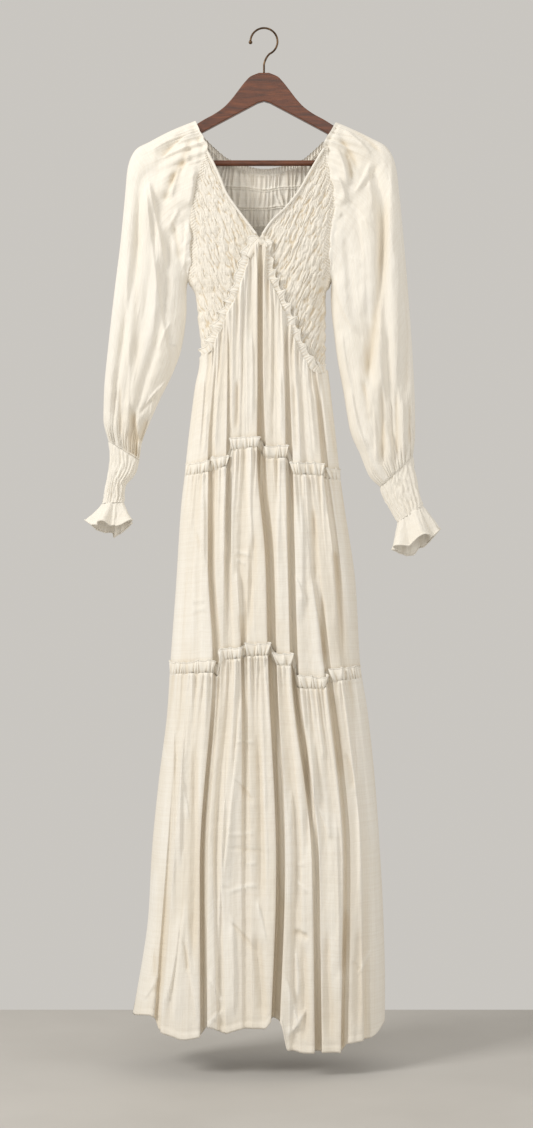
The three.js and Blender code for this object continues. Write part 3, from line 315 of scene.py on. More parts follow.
# Creases of the skirt's front, as lines with a width and a height. A negative height is a trough.
CREASE = "x1 z1 x2 z2 width height bow sharp"
SKIRT_CREASES = table(
    CREASE,
    (-121, -735, -123, -1000, 6.2, 3.8, 3, -1),
    (-120, -917, -90, -914, 2.2, 1.4, 1, 0),
    (-117, -932, -91, -925, 2, 1.3, 0, 0),
    (-17, -790, -28, -980, 5, -4.2, 3, 0),
    (-47, -836, -19, -844, 2.2, 1.6, 1, 0),
    (-45, -849, -27, -856, 2, 1.3, 0, 0),
    (-44, -862, -36, -945, 3.5, 2.9, 0, 0),
    (77, -760, 77, -900, 5, -3.8, 2, 0),
    (92, -900, 95, -1024, 4.4, -3.5, 0, 0),
    (108, -800, 121, -1020, 5, -3.8, 3, 0),
    (60, -740, 58, -960, 6.2, 3.2, 2, 1),
    (-96, -730, -97, -880, 5, 2.6, 2, 1),
    (20, -745, 24, -960, 5, 2.9, 0, -1),
    (-145, -1060, -145, -1420, 5, 4.2, 3, 1),
    (-123, -1085, -131, -1345, 5, 4.5, -4, 1),
    (-110, -1120, -113, -1500, 6.2, -5.1, 3, 0),
    (-33, -1032, -67, -1380, 5, 4.5, 2, -1),
    (-47, -1136, -13, -1136, 2, 1.3, 1, 0),
    (-65, -1279, -10, -1276, 2.4, 1.0, -2, 0),
    (-64, -1300, 6, -1309, 2.4, -1.0, 1, 0),
    (-32, -1326, -8, -1324, 2, 1.3, 0, 0),
    (-70, -1362, -52, -1365, 2.2, -0.9, 0, 0),
    (-10, -1110, -5, -1400, 5, -4.2, 2, 0),
    (43, -1190, 43, -1400, 5, 3.8, 2, 1),
    (80, -1110, 81, -1420, 5, 4.2, -2, 1),
    (83, -1095, 94, -1166, 3, 2.9, 2, 0),
    (66, -1080, 69, -1330, 5, -3.8, 0, 0),
    (47, -1327, 66, -1327, 2, 1.4, 0, 0),
    (49, -1350, 69, -1372, 2.2, 1.6, 0, 0),
    (105, -1046, 122, -1200, 5, -4.2, 2, 0),
    (142, -1060, 150, -1400, 6.2, 3.8, 4, -1),
    (112, -1230, 118, -1560, 7.5, 4.2, 2, 1),
    (-170, -1330, -190, -1570, 7.5, 4.2, 3, 1),
    (-122, -1380, -140, -1585, 6.2, 4.8, -3, -1),
    (-50, -1400, -48, -1580, 7.5, 4.2, 2, 1),
    (-14, -1430, 2, -1580, 6.2, -4.2, 0, 0),
    (60, -1440, 62, -1610, 6.2, -4.5, 2, 0),
    (100, -1420, 104, -1610, 6.2, -3.8, -2, 0),
    (150, -1420, 146, -1590, 6.2, -3.8, 0, 0),
    (-74, -560, -78, -680, 3.5, 2.9, 0, 0),
    (-20, -480, -20, -640, 5, 3.2, 2, 1),
    (26, -540, 27, -660, 3.5, 2.9, 0, 0),
    (48, -560, 52, -690, 4.4, -3.2, 0, 0),
    (72, -570, 82, -690, 3.5, 2.9, 0, 0),
    (-42, -560, -43, -650, 3, -2.9, 0, 0),
    (-94, -545, -104, -690, 3.4, 3.2, 1, 1),
    (-106, -570, -118, -692, 3, -2.6, 1, 0),
    (-90, -600, -96, -690, 2.6, 2.4, 0, -1),
    (88, -560, 104, -694, 3.6, 3.4, 1, -1),
    (98, -590, 114, -694, 3, -2.8, 1, 0),
    (-190, -1060, -150, -1180, 3.2, 2.4, 0, 1),
    (-60, -1120, -78, -1560, 5, 4.0, 2, 1),
    (20, -1090, 26, -1400, 4.4, 3.6, 0, -1),
    (-58, -1410, -8, -1468, 3.2, -1.9, 2, 1),
    (-60, -1373, -5, -1358, 3.2, 1.5, 3, 0),
    (-164, -1498, -194, -1548, 3.4, 2.6, 3, 1),
    (-176, -1462, -170, -1540, 3.0, -2.0, 2, 0),
    (-131, -1397, -162, -1580, 4.2, 4.2, 5, 1),
    (-121, -1417, -96, -1588, 4.2, 3.8, -5, -1),
    (-128, -1440, -120, -1500, 2.6, -2.4, 2, 0),
    (44, -1431, 71, -1441, 3.4, -3.4, 3, 1),
    (48, -1455, 52, -1540, 3.2, 2.4, 3, 0),
    (68, -1550, 36, -1596, 3.4, 3.8, 3, 1),
    (130, -1394, 114, -1514, 6.0, -3.0, 4, 0),
    (170, -1462, 145, -1505, 3.0, 2.0, 2, 1),
    (140, -1480, 151, -1498, 2.6, -2.2, 0, 0),
    (-90, -1579, -60, -1552, 3.2, 2.4, 3, 1),
    (-86, -1500, -66, -1548, 3.2, 2.2, 2, 0),
    (-12, -1380, 4, -1452, 3.4, 2.4, 2, 1),
    (-132, -1190, -118, -1262, 3.4, 2.4, 2, 1),
    (-50, -1190, -14, -1232, 3.2, -1.8, 2, 1),
    (84, -1236, 104, -1290, 3.4, 2.4, 2, -1),
    (128, -1150, 142, -1215, 3.4, -2.4, 3, 1),
    (-66, -760, -60, -850, 3.4, 2.8, 2, 1),
    (46, -870, 66, -922, 3.4, 2.4, 2, 1),
    (-108, -800, -94, -866, 3.2, -2.2, 2, 1),
    (98, -770, 110, -850, 3.4, 2.6, 2, -1),
    (34, -1500, 56, -1590, 4, 3.4, 1, 1),
)
SKIRT_CREASES_BACK = table(
    CREASE,
    (-110, -760, -118, -985, 6.2, 3.5, 2, -1),
    (-30, -740, -34, -970, 6.2, 3.8, -2, 1),
    (10, -780, 14, -990, 5, -3.5, 2, 0),
    (58, -745, 62, -900, 5, 3.2, 0, 1),
    (96, -790, 108, -990, 6.2, 3.5, 2, -1),
    (-70, -890, -38, -896, 2.4, 1.4, 1, 0),
    (24, -870, 52, -862, 2.2, 1.4, 0, 0),
    (-120, -1090, -132, -1400, 6.2, 4.5, 3, 1),
    (-92, -1080, -100, -1330, 5, -3.8, 2, 0),
    (-40, -1070, -48, -1420, 6.2, 4.2, -3, 1),
    (16, -1090, 22, -1380, 6.2, 3.8, 2, -1),
    (70, -1080, 80, -1360, 6.2, -4.2, 2, 0),
    (132, -1090, 144, -1420, 6.2, 3.8, 3, 1),
    (-66, -1290, -20, -1298, 2.4, 1.6, 1, 0),
    (92, -1330, 126, -1322, 2.4, 1.4, 0, 0),
    (-150, -1400, -168, -1560, 7.5, 3.8, 2, 1),
    (-60, -1430, -64, -1565, 6.2, -3.8, 0, 0),
    (30, -1420, 34, -1565, 7.5, 3.8, 2, -1),
    (120, -1430, 124, -1570, 6.2, 3.8, 0, 1),
)

# Creases of the sleeves' fronts and backs
LEFT_SLEEVE_CREASES = table(
    CREASE,
    (-187, -231, -150, -415, 9, 6.0, 0, 1),
    (-190, -228, -146, -560, 8, 5.0, -4, 1),
    (-213, -225, -203, -655, 8, 3.6, -9, -1),
    (-195, -262, -200, -600, 7, -2.4, -6, 0),
    (-236, -380, -246, -650, 5, 2.6, -4, -1),
    (-129, -157, -187, -204, 5, 3.2, 2, -1),
    (-120, -168, -168, -216, 5, -3.4, -2, 1),
    (-117, -178, -158, -262, 7, -5.0, 6, 0),
    (-126, -184, -122, -220, 6, 4.0, 3, 1),
    (-128, -216, -148, -280, 6, 3.6, -3, 1),
    (-112, -222, -126, -296, 7, 4.4, 3, 1),
    (-140, -226, -162, -284, 5, -3.0, 2, 0),
    (-134, -292, -152, -330, 4, 2.2, -2, 0),
    (-124, -310, -128, -390, 6, 3.4, 2, -1),
    (-150, -300, -134, -380, 5, -2.4, 3, 0),
    (-170, -330, -182, -540, 8, 2.4, 4, 1),
    (-190, -606, -150, -562, 4, 3.0, 3, 1),
    (-200, -622, -168, -588, 4, -2.4, 3, 0),
    (-146, -470, -168, -520, 3, 2.0, -3, 0),
    (-184, -620, -198, -668, 5, -4.0, 0, 1),
    (-178, -588, -186, -648, 5, 2.6, 2, -1),
    (-208, -600, -202, -702, 9, -5.0, 0, 1),
    (-214, -540, -216, -660, 5, 3.0, 0, 1),
    (-229, -560, -229, -664, 4, -2.6, 0, 0),
    (-240, -560, -241, -664, 4, 2.4, 0, 1),
    (-152, -506, -136, -508, 2.4, 1.2, 0, 0),
    (-170, -447, -150, -442, 2.2, 1.0, 0, 0),
    (-176, -300, -160, -316, 2.4, 1.2, 0, 0),
)
RIGHT_SLEEVE_CREASES = table(
    CREASE,
    (204, -206, 163, -664, 15, 8.0, 6, -1),
    (196, -240, 158, -600, 10, -5.0, 8, 0),
    (150, -270, 158, -470, 11, 4.0, 5, -1),
    (122, -300, 138, -470, 9, 2.0, -4, 0),
    (212, -330, 208, -600, 7, 2.6, 3, 1),
    (226, -330, 226, -620, 5, -2.4, 2, 0),
    (122, -158, 176, -214, 5, 3.2, 4, 1),
    (134, -160, 190, -206, 5, -2.6, 5, 0),
    (118, -172, 150, -232, 5, -3.4, 3, 0),
    (114, -190, 134, -262, 6, 5.0, 4, 1),
    (112, -236, 128, -288, 6, 4.6, 6, 1),
    (128, -196, 138, -250, 4, -3.6, 3, 0),
    (108, -290, 124, -304, 4, 3.0, 3, 1),
    (142, -268, 170, -212, 4, 3.0, -3, 1),
    (154, -262, 182, -214, 4, -2.0, -3, 0),
    (164, -222, 172, -300, 4, 2.4, 3, 1),
    (150, -306, 176, -330, 3, 1.4, 2, 0),
    (134, -366, 156, -386, 3, 1.2, 2, 0),
    (114, -390, 156, -496, 7, 4.2, -12, -1),
    (124, -480, 140, -580, 6, 3.0, -3, 1),
    (138, -570, 164, -680, 6, 3.6, -4, 1),
    (156, -560, 168, -640, 5, -3.0, 2, 0),
    (172, -590, 178, -700, 4, 3.0, 2, -1),
    (186, -560, 188, -712, 5, -4.2, 2, 0),
    (197, -580, 203, -706, 4, 3.8, 2, 1),
    (210, -570, 213, -700, 4, -3.4, 0, 0),
    (221, -590, 223, -690, 4, 3.2, 0, 1),
    (232, -590, 231, -680, 3, -2.6, 0, 0),
    (150, -640, 176, -722, 5, 3.0, 2, -1),
    (176, -470, 196, -520, 3, 1.4, 0, 0),
)
SLEEVE_BACK_CREASES = table(
    CREASE,
    (150, -200, 176, -420, 8, 3.6, 4, 1),
    (190, -240, 186, -520, 8, -3.4, 3, 0),
    (212, -300, 214, -600, 7, 3.0, 3, -1),
    (140, -280, 150, -500, 6, -3.0, -4, 0),
    (160, -480, 196, -640, 6, 3.2, -3, 1),
    (128, -190, 150, -240, 5, 3.0, 2, 1),
    (176, -560, 208, -660, 5, -2.6, 0, 0),
    (150, -400, 172, -408, 2.4, 1.0, 0, 0),
)

# Wooden hanger with its bar and wire hook
BOARD_THICKNESS = 12.0
BOARD_BEVEL = 1.6
BOARD_UNDER_MIDDLE = -116.0
BOARD_TOP = table(
    "x z",
    (8, -71), (22, -77), (30, -85), (41, -99), (51, -112), (63, -125), (78, -136),
    (97, -146.5), (112, -155.8), (170, -187),
)
BOARD_END = {"x": 182.0, "z": -207.0, "radius": 13.0, "start": 1.06, "end": -1.14}
BOARD_UNDER = table("x z", (176, -223), (164, -202), (100, -167), (10, -119))
BAR = {"radius": 4.7, "z": -214.7, "half": 167.5}
HOOK = {"wire": 1.6, "ring": 21.6, "centre": -20.0, "ball": 3.1, "start": 3.2, "end": -1.13}
HOOK_STEM = [(2, -50), (0, -58), (0, -70.5)]


def along(rows, by, key, at):
    """Smooth value of one named column of a table, without overshoot"""
    xs = rows[by]
    ys = rows[key]
    if xs[0] > xs[-1]:
        xs = xs[::-1]
        ys = ys[::-1]
    span = np.diff(xs)
    rate = np.diff(ys) / span
    product = rate[:-1] * rate[1:]
    total = np.where(product > 0, rate[:-1] + rate[1:], 1)
    slope = np.concatenate(([rate[0]], np.where(product > 0, 2 * product / total, 0), [rate[-1]]))
    at = np.clip(at, xs[0], xs[-1])
    i = np.clip(np.searchsorted(xs, at, side="right") - 1, 0, len(span) - 1)
    t = (at - xs[i]) / span[i]
    start = (1 + 2 * t) * (1 - t) ** 2 * ys[i] + t * (1 - t) ** 2 * span[i] * slope[i]
    end = t * t * (3 - 2 * t) * ys[i + 1] + t * t * (t - 1) * span[i] * slope[i + 1]
    return start + end


def at_level(rows, number, z):
    """Value of one fold's row at a height of the skirt"""
    values = np.array([rows[name][number] for name in ("waist", "upper", "middle", "lower", "knee", "hem")])
    return along({"z": LEVELS, "value": values}, "z", "value", z)


def blend(start, end, share):
    """Straight way from one value to another"""
    return start + (end - start) * share


def bump(distance, width):
    """Round hill of height 1"""
    return np.exp(-((distance / width) ** 2))


def smooth(value):
    """Soft step from 0 to 1"""
    t = np.clip(value, 0, 1)
    return t * t * (3 - 2 * t)


def noise(u, v, seed):
    """Smooth random field from -1 to 1, with one value for each unit cell"""
    size = 256
    lattice = np.random.default_rng(seed).uniform(-1, 1, (size, size))
    iu = np.floor(u).astype(int)
    iv = np.floor(v).astype(int)
    fu = smooth(u - iu)
    fv = smooth(v - iv)
    low = blend(lattice[iu % size, iv % size], lattice[(iu + 1) % size, iv % size], fu)
    high = blend(lattice[iu % size, (iv + 1) % size], lattice[(iu + 1) % size, (iv + 1) % size], fu)
    return blend(low, high, fv)


# Creases: where they fade, how they widen, how the steep and the gentle side differ, and their profile
CREASE_FADE = 0.25
CREASE_START = 0.7
CREASE_WIDENS = 0.5
CREASE_STEEP = 0.45
CREASE_GENTLE = 1.9
CREASE_POWER = 1.7


def creases(rows, x, z, mirror=1):
    """Height of soft folds along bowed lines that fade at their ends. Sharp is the steep side's sign."""
    height = np.zeros_like(x)
    for i in range(len(rows["x1"])):
        x1 = rows["x1"][i] * mirror
        dx = rows["x2"][i] * mirror - x1
        dz = rows["z2"][i] - rows["z1"][i]
        length = math.hypot(dx, dz)
        share = ((x - x1) * dx + (z - rows["z1"][i]) * dz) / length**2
        bow = rows["bow"][i] * 4 * share * (1 - share)
        side = ((z - rows["z1"][i]) * dx - (x - x1) * dz) / length - bow
        fade = smooth(share / CREASE_FADE) * smooth((1 - share) / CREASE_FADE)
        width = rows["width"][i] * (CREASE_START + CREASE_WIDENS * share)
        reach = width
        if rows["sharp"][i] != 0:
            reach = np.where(rows["sharp"][i] * side > 0, CREASE_STEEP * width, CREASE_GENTLE * width)
        height += rows["height"][i] * fade * np.exp(-np.abs(side / reach) ** CREASE_POWER)
    return height


def body_at(z, proud):
    """Side lines and depths of the body at a height, made larger by how proud a cloth lies"""
    return {
        "left": along(BODY, "z", "left", z) - proud,
        "right": along(BODY, "z", "right", z) + proud,
        "side": along(BODY, "z", "side", z),
        "front": along(BODY, "z", "front", z) + proud,
        "back": along(BODY, "z", "back", z) + proud,
    }


def crown_at(body, x):
    """Roundness of the section: 0 at a side seam, 1 in the flat middle"""
    across = np.clip((x - body["left"]) / (body["right"] - body["left"]), 0, 1)
    return np.sqrt(1 - np.abs(2 * across - 1) ** CROWN_POWER)


def front_y(x, z, proud=0.0):
    body = body_at(z, proud)
    return body["side"] - (body["side"] + body["front"]) * crown_at(body, x)


def back_y(x, z, proud=0.0):
    body = body_at(z, proud)
    return body["side"] + (body["back"] - body["side"]) * crown_at(body, x)


FRONT = {
    "faces": -1, "y": front_y, "valleys": FRONT_VALLEYS, "depths": FRONT_DEPTHS, "waist": WAIST_LINE,
    "upper_top": UPPER_FRILL_TOP, "lower_top": LOWER_FRILL_TOP, "hem": FRONT_HEM,
    "creases": SKIRT_CREASES, "steps": 34, "detail": 1.0, "seed": 11,
}
BACK = {
    "faces": 1, "y": back_y, "valleys": BACK_VALLEYS, "depths": BACK_DEPTHS, "waist": BACK_WAIST,
    "upper_top": UPPER_FRILL_TOP_BACK, "lower_top": LOWER_FRILL_TOP_BACK, "hem": BACK_HEM,
    "creases": SKIRT_CREASES_BACK, "steps": 30, "detail": 0.7, "seed": 53,
}


# Channels between the panels, in shares of their depth and width: their sloping floor, the roll of the
# panels' edges, how far these edges hang over, and the depths at which the painted shade and the overhang
# are full
CHANNEL_FLOOR = 0.34
FLOOR_UNEVEN = 0.12
ROLL = {"height": 0.12, "place": 1.5, "width": 0.45}
OVERHANG = {"share": 0.66, "place": 1.4, "width": 0.42, "depth": 11}
SHADED_DEPTH = 16
WAIST_NARROWING = 160


def channel_y(half, x, z, proud=0.0, depth=1.0):
    """The skirt's worn surface: broad panels with rolled edges beside channels with a sloping floor, and
    the painted shade in these channels
    """
    dip = 0.0
    painted_shade = 0.0
    for i in range(len(half["valleys"]["width"])):
        full = at_level(half["depths"], i, z) * CHANNEL_DEEPER
        s = (x - at_level(half["valleys"], i, z)) / channel_width(half, i, z)
        wall = np.exp(-(np.abs(s) ** 3))
        inner = (CHANNEL_FLOOR + FLOOR_UNEVEN * math.sin(3 * i)) * smooth((s + 0.45) / 0.8)
        roll = ROLL["height"] * full * bump(np.abs(s) - ROLL["place"], ROLL["width"])
        dip = dip + full * wall * (1 - inner) - roll
        # Painted shade in the channels, stronger where they are deep and weaker on their raised floor
        painted_shade = painted_shade + np.clip(full * depth / SHADED_DEPTH, 0, 1) * wall * (1 - 1.5 * inner)
    y = half["y"](x, z, proud) - half["faces"] * depth * dip * crown_at(body_at(z, proud), x)
    return y, np.clip(painted_shade, 0, 1)


def fold_over(half, x, z, depth):
    """Moves the panels' edges sideways, so that they hang over the channels between them"""
    shift = np.zeros_like(x)
    for i in range(len(half["valleys"]["width"])):
        width = channel_width(half, i, z)
        s = (x - at_level(half["valleys"], i, z)) / width
        deep = np.clip(at_level(half["depths"], i, z) * depth / OVERHANG["depth"], 0, 1)
        edge = bump(np.abs(s) - OVERHANG["place"], OVERHANG["width"])
        shift -= OVERHANG["share"] * deep * width * np.sign(s) * edge
    return shift


def channel_width(half, number, z):
    """Width of a channel, narrower where the cloth is drawn together at the waist"""
    settled = smooth((LEVELS[0] - z) / WAIST_NARROWING)
    return half["valleys"]["width"][number] * blend(WAIST_NARROWER, 1.0, settled)


# Meshes
def grid_part(points, closed, outward):
    """Quads of a grid of points in millimetres, turned so that they face outward"""
    rows, columns = points.shape[:2]
    ids = np.arange(rows * columns).reshape(rows, columns)
    if closed:
        ids = np.concatenate((ids, ids[:, :1]), axis=1)
    quads = np.stack((ids[:-1, :-1], ids[1:, :-1], ids[1:, 1:], ids[:-1, 1:]), axis=-1).reshape(-1, 4)
    flat = points.reshape(-1, 3)
    normal = np.cross(flat[quads[:, 2]] - flat[quads[:, 0]], flat[quads[:, 3]] - flat[quads[:, 1]])
    middle = flat[quads].mean(axis=1)
    if outward is None:
        reference = middle - points.mean(axis=1)[np.repeat(np.arange(rows - 1), ids.shape[1] - 1)]
    else:
        reference = np.array(outward)
    if np.sum(normal * reference) < 0:
        quads = quads[:, ::-1]
    return flat, quads


def lengths_of(points, closed):
    """Distances along the rows and the columns of a grid, from its first point"""
    around = points if not closed else np.concatenate((points, points[:, :1]), axis=1)
    across = np.linalg.norm(np.diff(around, axis=1), axis=2)
    down = np.linalg.norm(np.diff(points, axis=0), axis=2)
    u = np.concatenate((np.zeros((len(points), 1)), np.cumsum(across, axis=1)), axis=1)
    v = np.concatenate((np.zeros((1, points.shape[1])), np.cumsum(down, axis=0)), axis=0)
    return u, v


def tube_part(path, radius, sides):
    """Closed tube round a path of points, with its ends closed by a point each"""
    ahead = np.gradient(path, axis=0)
    ahead /= np.linalg.norm(ahead, axis=1)[:, None] + 1e-9
    side = np.cross(ahead, np.array([0.0, 0.31, 1.0]))
    side /= np.linalg.norm(side, axis=1)[:, None] + 1e-9
    other = np.cross(ahead, side)
    turn = np.linspace(0, 2 * math.pi, sides, endpoint=False)
    radius = np.broadcast_to(radius, len(path))[:, None, None]
    ring = side[:, None] * np.cos(turn)[None, :, None] + other[:, None] * np.sin(turn)[None, :, None]
    points = path[:, None] + radius * ring
    ends = np.stack((np.repeat(path[:1], sides, axis=0), np.repeat(path[-1:], sides, axis=0)))
    return np.concatenate((ends[:1], points, ends[1:]), axis=0)


def new_object(name, grids, material):
    """Object of one or more grids, with lengths in metres as its UVs and the painted shade of its folds as
    an attribute
    """
    points = []
    faces = []
    coords = []
    painted_shades = []
    count = 0
    for grid in grids:
        flat, quads = grid_part(grid["points"], grid["closed"], grid["outward"])
        points.append(flat)
        faces.append(quads + count)
        rows, columns = grid["points"].shape[:2]
        u, v = lengths_of(grid["points"], grid["closed"])
        u = np.broadcast_to(u[:, :columns].mean(axis=0), (rows, columns))
        if "uv" in grid:
            u, v = grid["uv"]
        coords.append(np.stack((u.reshape(-1), v.reshape(-1)), axis=1))
        painted_shades.append(np.broadcast_to(grid.get("painted_shade", 0.0), (rows, columns)).reshape(-1))
        count += len(flat)
    points = np.concatenate(points) * MM
    faces = np.concatenate(faces)
    coords = np.concatenate(coords) * MM
    mesh = bpy.data.meshes.new(name)
    mesh.vertices.add(len(points))
    mesh.vertices.foreach_set("co", points.reshape(-1))
    mesh.loops.add(faces.size)
    mesh.loops.foreach_set("vertex_index", faces.reshape(-1))
    mesh.polygons.add(len(faces))
    mesh.polygons.foreach_set("loop_start", np.arange(0, faces.size, 4))
    mesh.polygons.foreach_set("loop_total", np.full(len(faces), 4))
    mesh.update(calc_edges=True)
    mesh.validate()
    layer = mesh.uv_layers.new(name="metres")
    corner = np.empty(len(mesh.loops), dtype=np.int32)
    mesh.loops.foreach_get("vertex_index", corner)
    layer.data.foreach_set("uv", coords[corner].reshape(-1))
    mesh.polygons.foreach_set("use_smooth", np.ones(len(mesh.polygons), dtype=bool))
    painted_shade = mesh.attributes.new("painted_shade", "FLOAT", "POINT")
    painted_shade.data.foreach_set("value", np.concatenate(painted_shades))
    mesh.materials.append(material)
    piece = bpy.data.objects.new(name, mesh)
    bpy.context.collection.objects.link(piece)
    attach(piece, "root")
    return piece


def cloth_piece(name, grids, material, nodes):
    """A piece of the dress made from its grids, with the solids that it stands for hidden"""
    piece = new_object(name, grids, material)
    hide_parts(*nodes)


def sheet_grid(points, faces):
    return {"points": points, "closed": False, "outward": (0, faces, 0)}


def tube_grid(points):
    return {"points": points, "closed": True, "outward": None}


def cord_grid(path, radius, sides):
    return {"points": tube_part(path, radius, sides), "closed": True, "outward": None, "rim": True}


def rolled_rim(path):
    """Thin rolled cord along a frill's rim"""
    return cord_grid(path, ROLLED_EDGE, ROLLED_SIDES)


# Materials
def node(tree, kind, place, **values):
    """Shader node with its inputs or properties set by name"""
    made = tree.nodes.new(kind)
    made.location = place
    for name, value in values.items():
        if name in made.inputs:
            made.inputs[name].default_value = value
        else:
            setattr(made, name, value)
    return made


def scaled_coordinates(tree, scale, place, turn=0.0):
    """UV coordinates in metres, turned and then scaled to cells for each metre"""
    coords = node(tree, "ShaderNodeTexCoord", (place[0] - 400, place[1]))
    mapping = node(tree, "ShaderNodeMapping", (place[0] - 200, place[1]))
    mapping.inputs["Rotation"].default_value = (0, 0, turn)
    mapping.inputs["Scale"].default_value = (scale[0], scale[1], 1)
    tree.links.new(coords.outputs["UV"], mapping.inputs["Vector"])
    return mapping.outputs["Vector"]


def stretched_noise(tree, scale, place, detail=2.0, distortion=0.0, turn=0.0):
    """Noise on the UVs, with a scale in cells for each metre"""
    texture = node(tree, "ShaderNodeTexNoise", place, Scale=1.0, Detail=detail, Distortion=distortion)
    tree.links.new(scaled_coordinates(tree, scale, place, turn), texture.inputs["Vector"])
    return texture.outputs["Fac"]


def object_noise(tree, scale, place, detail, distortion=0.0):
    """Noise on the object's own coordinates, with a scale in cells for each metre"""
    coords = node(tree, "ShaderNodeTexCoord", (place[0] - 400, place[1]))
    mapping = node(tree, "ShaderNodeMapping", (place[0] - 200, place[1]))
    mapping.inputs["Scale"].default_value = scale
    tree.links.new(coords.outputs["Object"], mapping.inputs["Vector"])
    texture = node(tree, "ShaderNodeTexNoise", place, Scale=1.0, Detail=detail, Distortion=distortion)
    tree.links.new(mapping.outputs["Vector"], texture.inputs["Vector"])
    return texture.outputs["Fac"]


def add_bump(tree, height, distance, before, place):
    made = node(tree, "ShaderNodeBump", place, Strength=1.0, Distance=distance)
    tree.links.new(height, made.inputs["Height"])
    if before is not None:
        tree.links.new(before, made.inputs["Normal"])
    return made.outputs["Normal"]


def ramp(tree, source, stops, place):
    made = node(tree, "ShaderNodeValToRGB", place)
    made.color_ramp.elements[0].position = stops[0][0]
    made.color_ramp.elements[0].color = (*stops[0][1], 1)
    made.color_ramp.elements[1].position = stops[-1][0]
    made.color_ramp.elements[1].color = (*stops[-1][1], 1)
    for position, colour in stops[1:-1]:
        stop = made.color_ramp.elements.new(position)
        stop.color = (*colour, 1)
    tree.links.new(source, made.inputs["Fac"])
    return made.outputs["Color"]


def mix_colour(tree, kind, share, first, second, place):
    made = node(tree, "ShaderNodeMix", place, data_type="RGBA", blend_type=kind)
    made.inputs["Factor"].default_value = share
    tree.links.new(first, made.inputs[6])
    tree.links.new(second, made.inputs[7])
    return made.outputs[2]


def uneven_roughness(tree, shader, source, low, high, place):
    """Roughness between two values, led by a pattern"""
    rough = node(tree, "ShaderNodeMapRange", place)
    rough.inputs["To Min"].default_value = low
    rough.inputs["To Max"].default_value = high
    tree.links.new(source, rough.inputs["Value"])
    tree.links.new(rough.outputs["Result"], shader.inputs["Roughness"])


def new_material(name, settings):
    """Material with its node tree and its shader, whose own sockets are set by name"""
    material = bpy.data.materials.new(name)
    material.use_nodes = True
    tree = material.node_tree
    shader = tree.nodes["Principled BSDF"]
    for socket, value in settings.items():
        shader.inputs[socket].default_value = value
    return material, tree, shader


# Gauze: its colours, one of them the warm tan painted into shaded folds, its patterns in cells for each
# metre, and the heights of its bumps in metres
WHITE = (1, 1, 1)
IVORY_LIGHT = (0.9, 0.874, 0.818)
IVORY_DEEP = (0.87, 0.828, 0.745)
PAINTED_SHADE_IVORY = (0.76, 0.66, 0.51)
THREAD_SHADE = (0.93, 0.91, 0.88)
GAUZE = {
    "Roughness": 0.9, "Specular IOR Level": 0.2, "Sheen Weight": 0.18, "Sheen Roughness": 0.5,
    "Sheen Tint": (1.0, 0.97, 0.92, 1),
}
SLUBS = (((520, 7), 0.62), ((9, 460), 0.6))
SLUB_SHARE = 0.55
SLUB_BUMP = 0.00014
THREADS = (("X", 280), ("Y", 260))
THREAD_BUMP = 0.00005
CRINKLE = (170, 26)
CRINKLE_BUMP = 0.0011
SHIRRED = (310, 75)
SHIRRED_BUMP = 0.0016
RUCHED_BUMP = 0.0009


def gauze(name, shirring=0.0, turn=0.0):
    """Soft cotton gauze: a slubby weave, a light crinkle, warm painted shade in its folds and, where
    shirred, fine puckers
    """
    material, tree, shader = new_material(name, GAUZE)
    patches = stretched_noise(tree, (9, 4), (-1200, 700), detail=3)
    colour = ramp(tree, patches, [(0.3, IVORY_DEEP), (0.7, IVORY_LIGHT)], (-900, 700))
    normal = None
    for i, (scale, thin) in enumerate(SLUBS):
        slub = stretched_noise(tree, scale, (-1200, 400 - 250 * i))
        thread = ramp(tree, slub, [(0.3, THREAD_SHADE), (thin, WHITE)], (-900, 400 - 250 * i))
        colour = mix_colour(tree, "MULTIPLY", SLUB_SHARE, colour, thread, (-600 + 180 * i, 600))
        normal = add_bump(tree, slub, SLUB_BUMP, normal, (-600 + 180 * i, 200))
    for i, (way, cells) in enumerate(THREADS):
        place = (-1200, -350 - 250 * i)
        weave = node(tree, "ShaderNodeTexWave", place, wave_type="BANDS", bands_direction=way, Scale=1.0)
        tree.links.new(scaled_coordinates(tree, (cells, cells), place), weave.inputs["Vector"])
        normal = add_bump(tree, weave.outputs["Fac"], THREAD_BUMP, normal, (-240 + 180 * i, 200))
    crinkle = stretched_noise(tree, CRINKLE, (-1200, -100), detail=3, distortion=0.15)
    normal = add_bump(tree, crinkle, CRINKLE_BUMP, normal, (-240, 0))
    if shirring:
        pucker = stretched_noise(tree, SHIRRED, (-1200, -850), detail=1.5, distortion=1.1, turn=turn)
        normal = add_bump(tree, pucker, shirring, normal, (-60, 0))
    # Painted shade: the attribute multiplies the colour towards a warm tan in folds, creases and gaps where
    # shade falls
    folds = node(tree, "ShaderNodeAttribute", (-900, -850), attribute_name="painted_shade")
    shade = ramp(tree, folds.outputs["Fac"], [(0.0, WHITE), (1.0, PAINTED_SHADE_IVORY)], (-600, -850))
    colour = mix_colour(tree, "MULTIPLY", 1.0, colour, shade, (-240, 600))
    tree.links.new(colour, shader.inputs["Base Color"])
    tree.links.new(normal, shader.inputs["Normal"])
    return material


# Wood: colours of its grain from dark to light, of its pores and of its worn edges, and its patterns
GRAIN_COLOURS = [(0.25, (0.028, 0.007, 0.004)), (0.5, (0.095, 0.024, 0.009)), (0.78, (0.19, 0.055, 0.018))]
PORE_COLOURS = [(0.35, (0.55, 0.5, 0.48)), (0.5, WHITE)]
WORN_COLOURS = [(0.5, (0, 0, 0)), (0.6, (0.16, 0.07, 0.03))]
GRAIN = (14, 60, 120)
PORES = (60, 500, 700)
PORE_BUMP = 0.00012


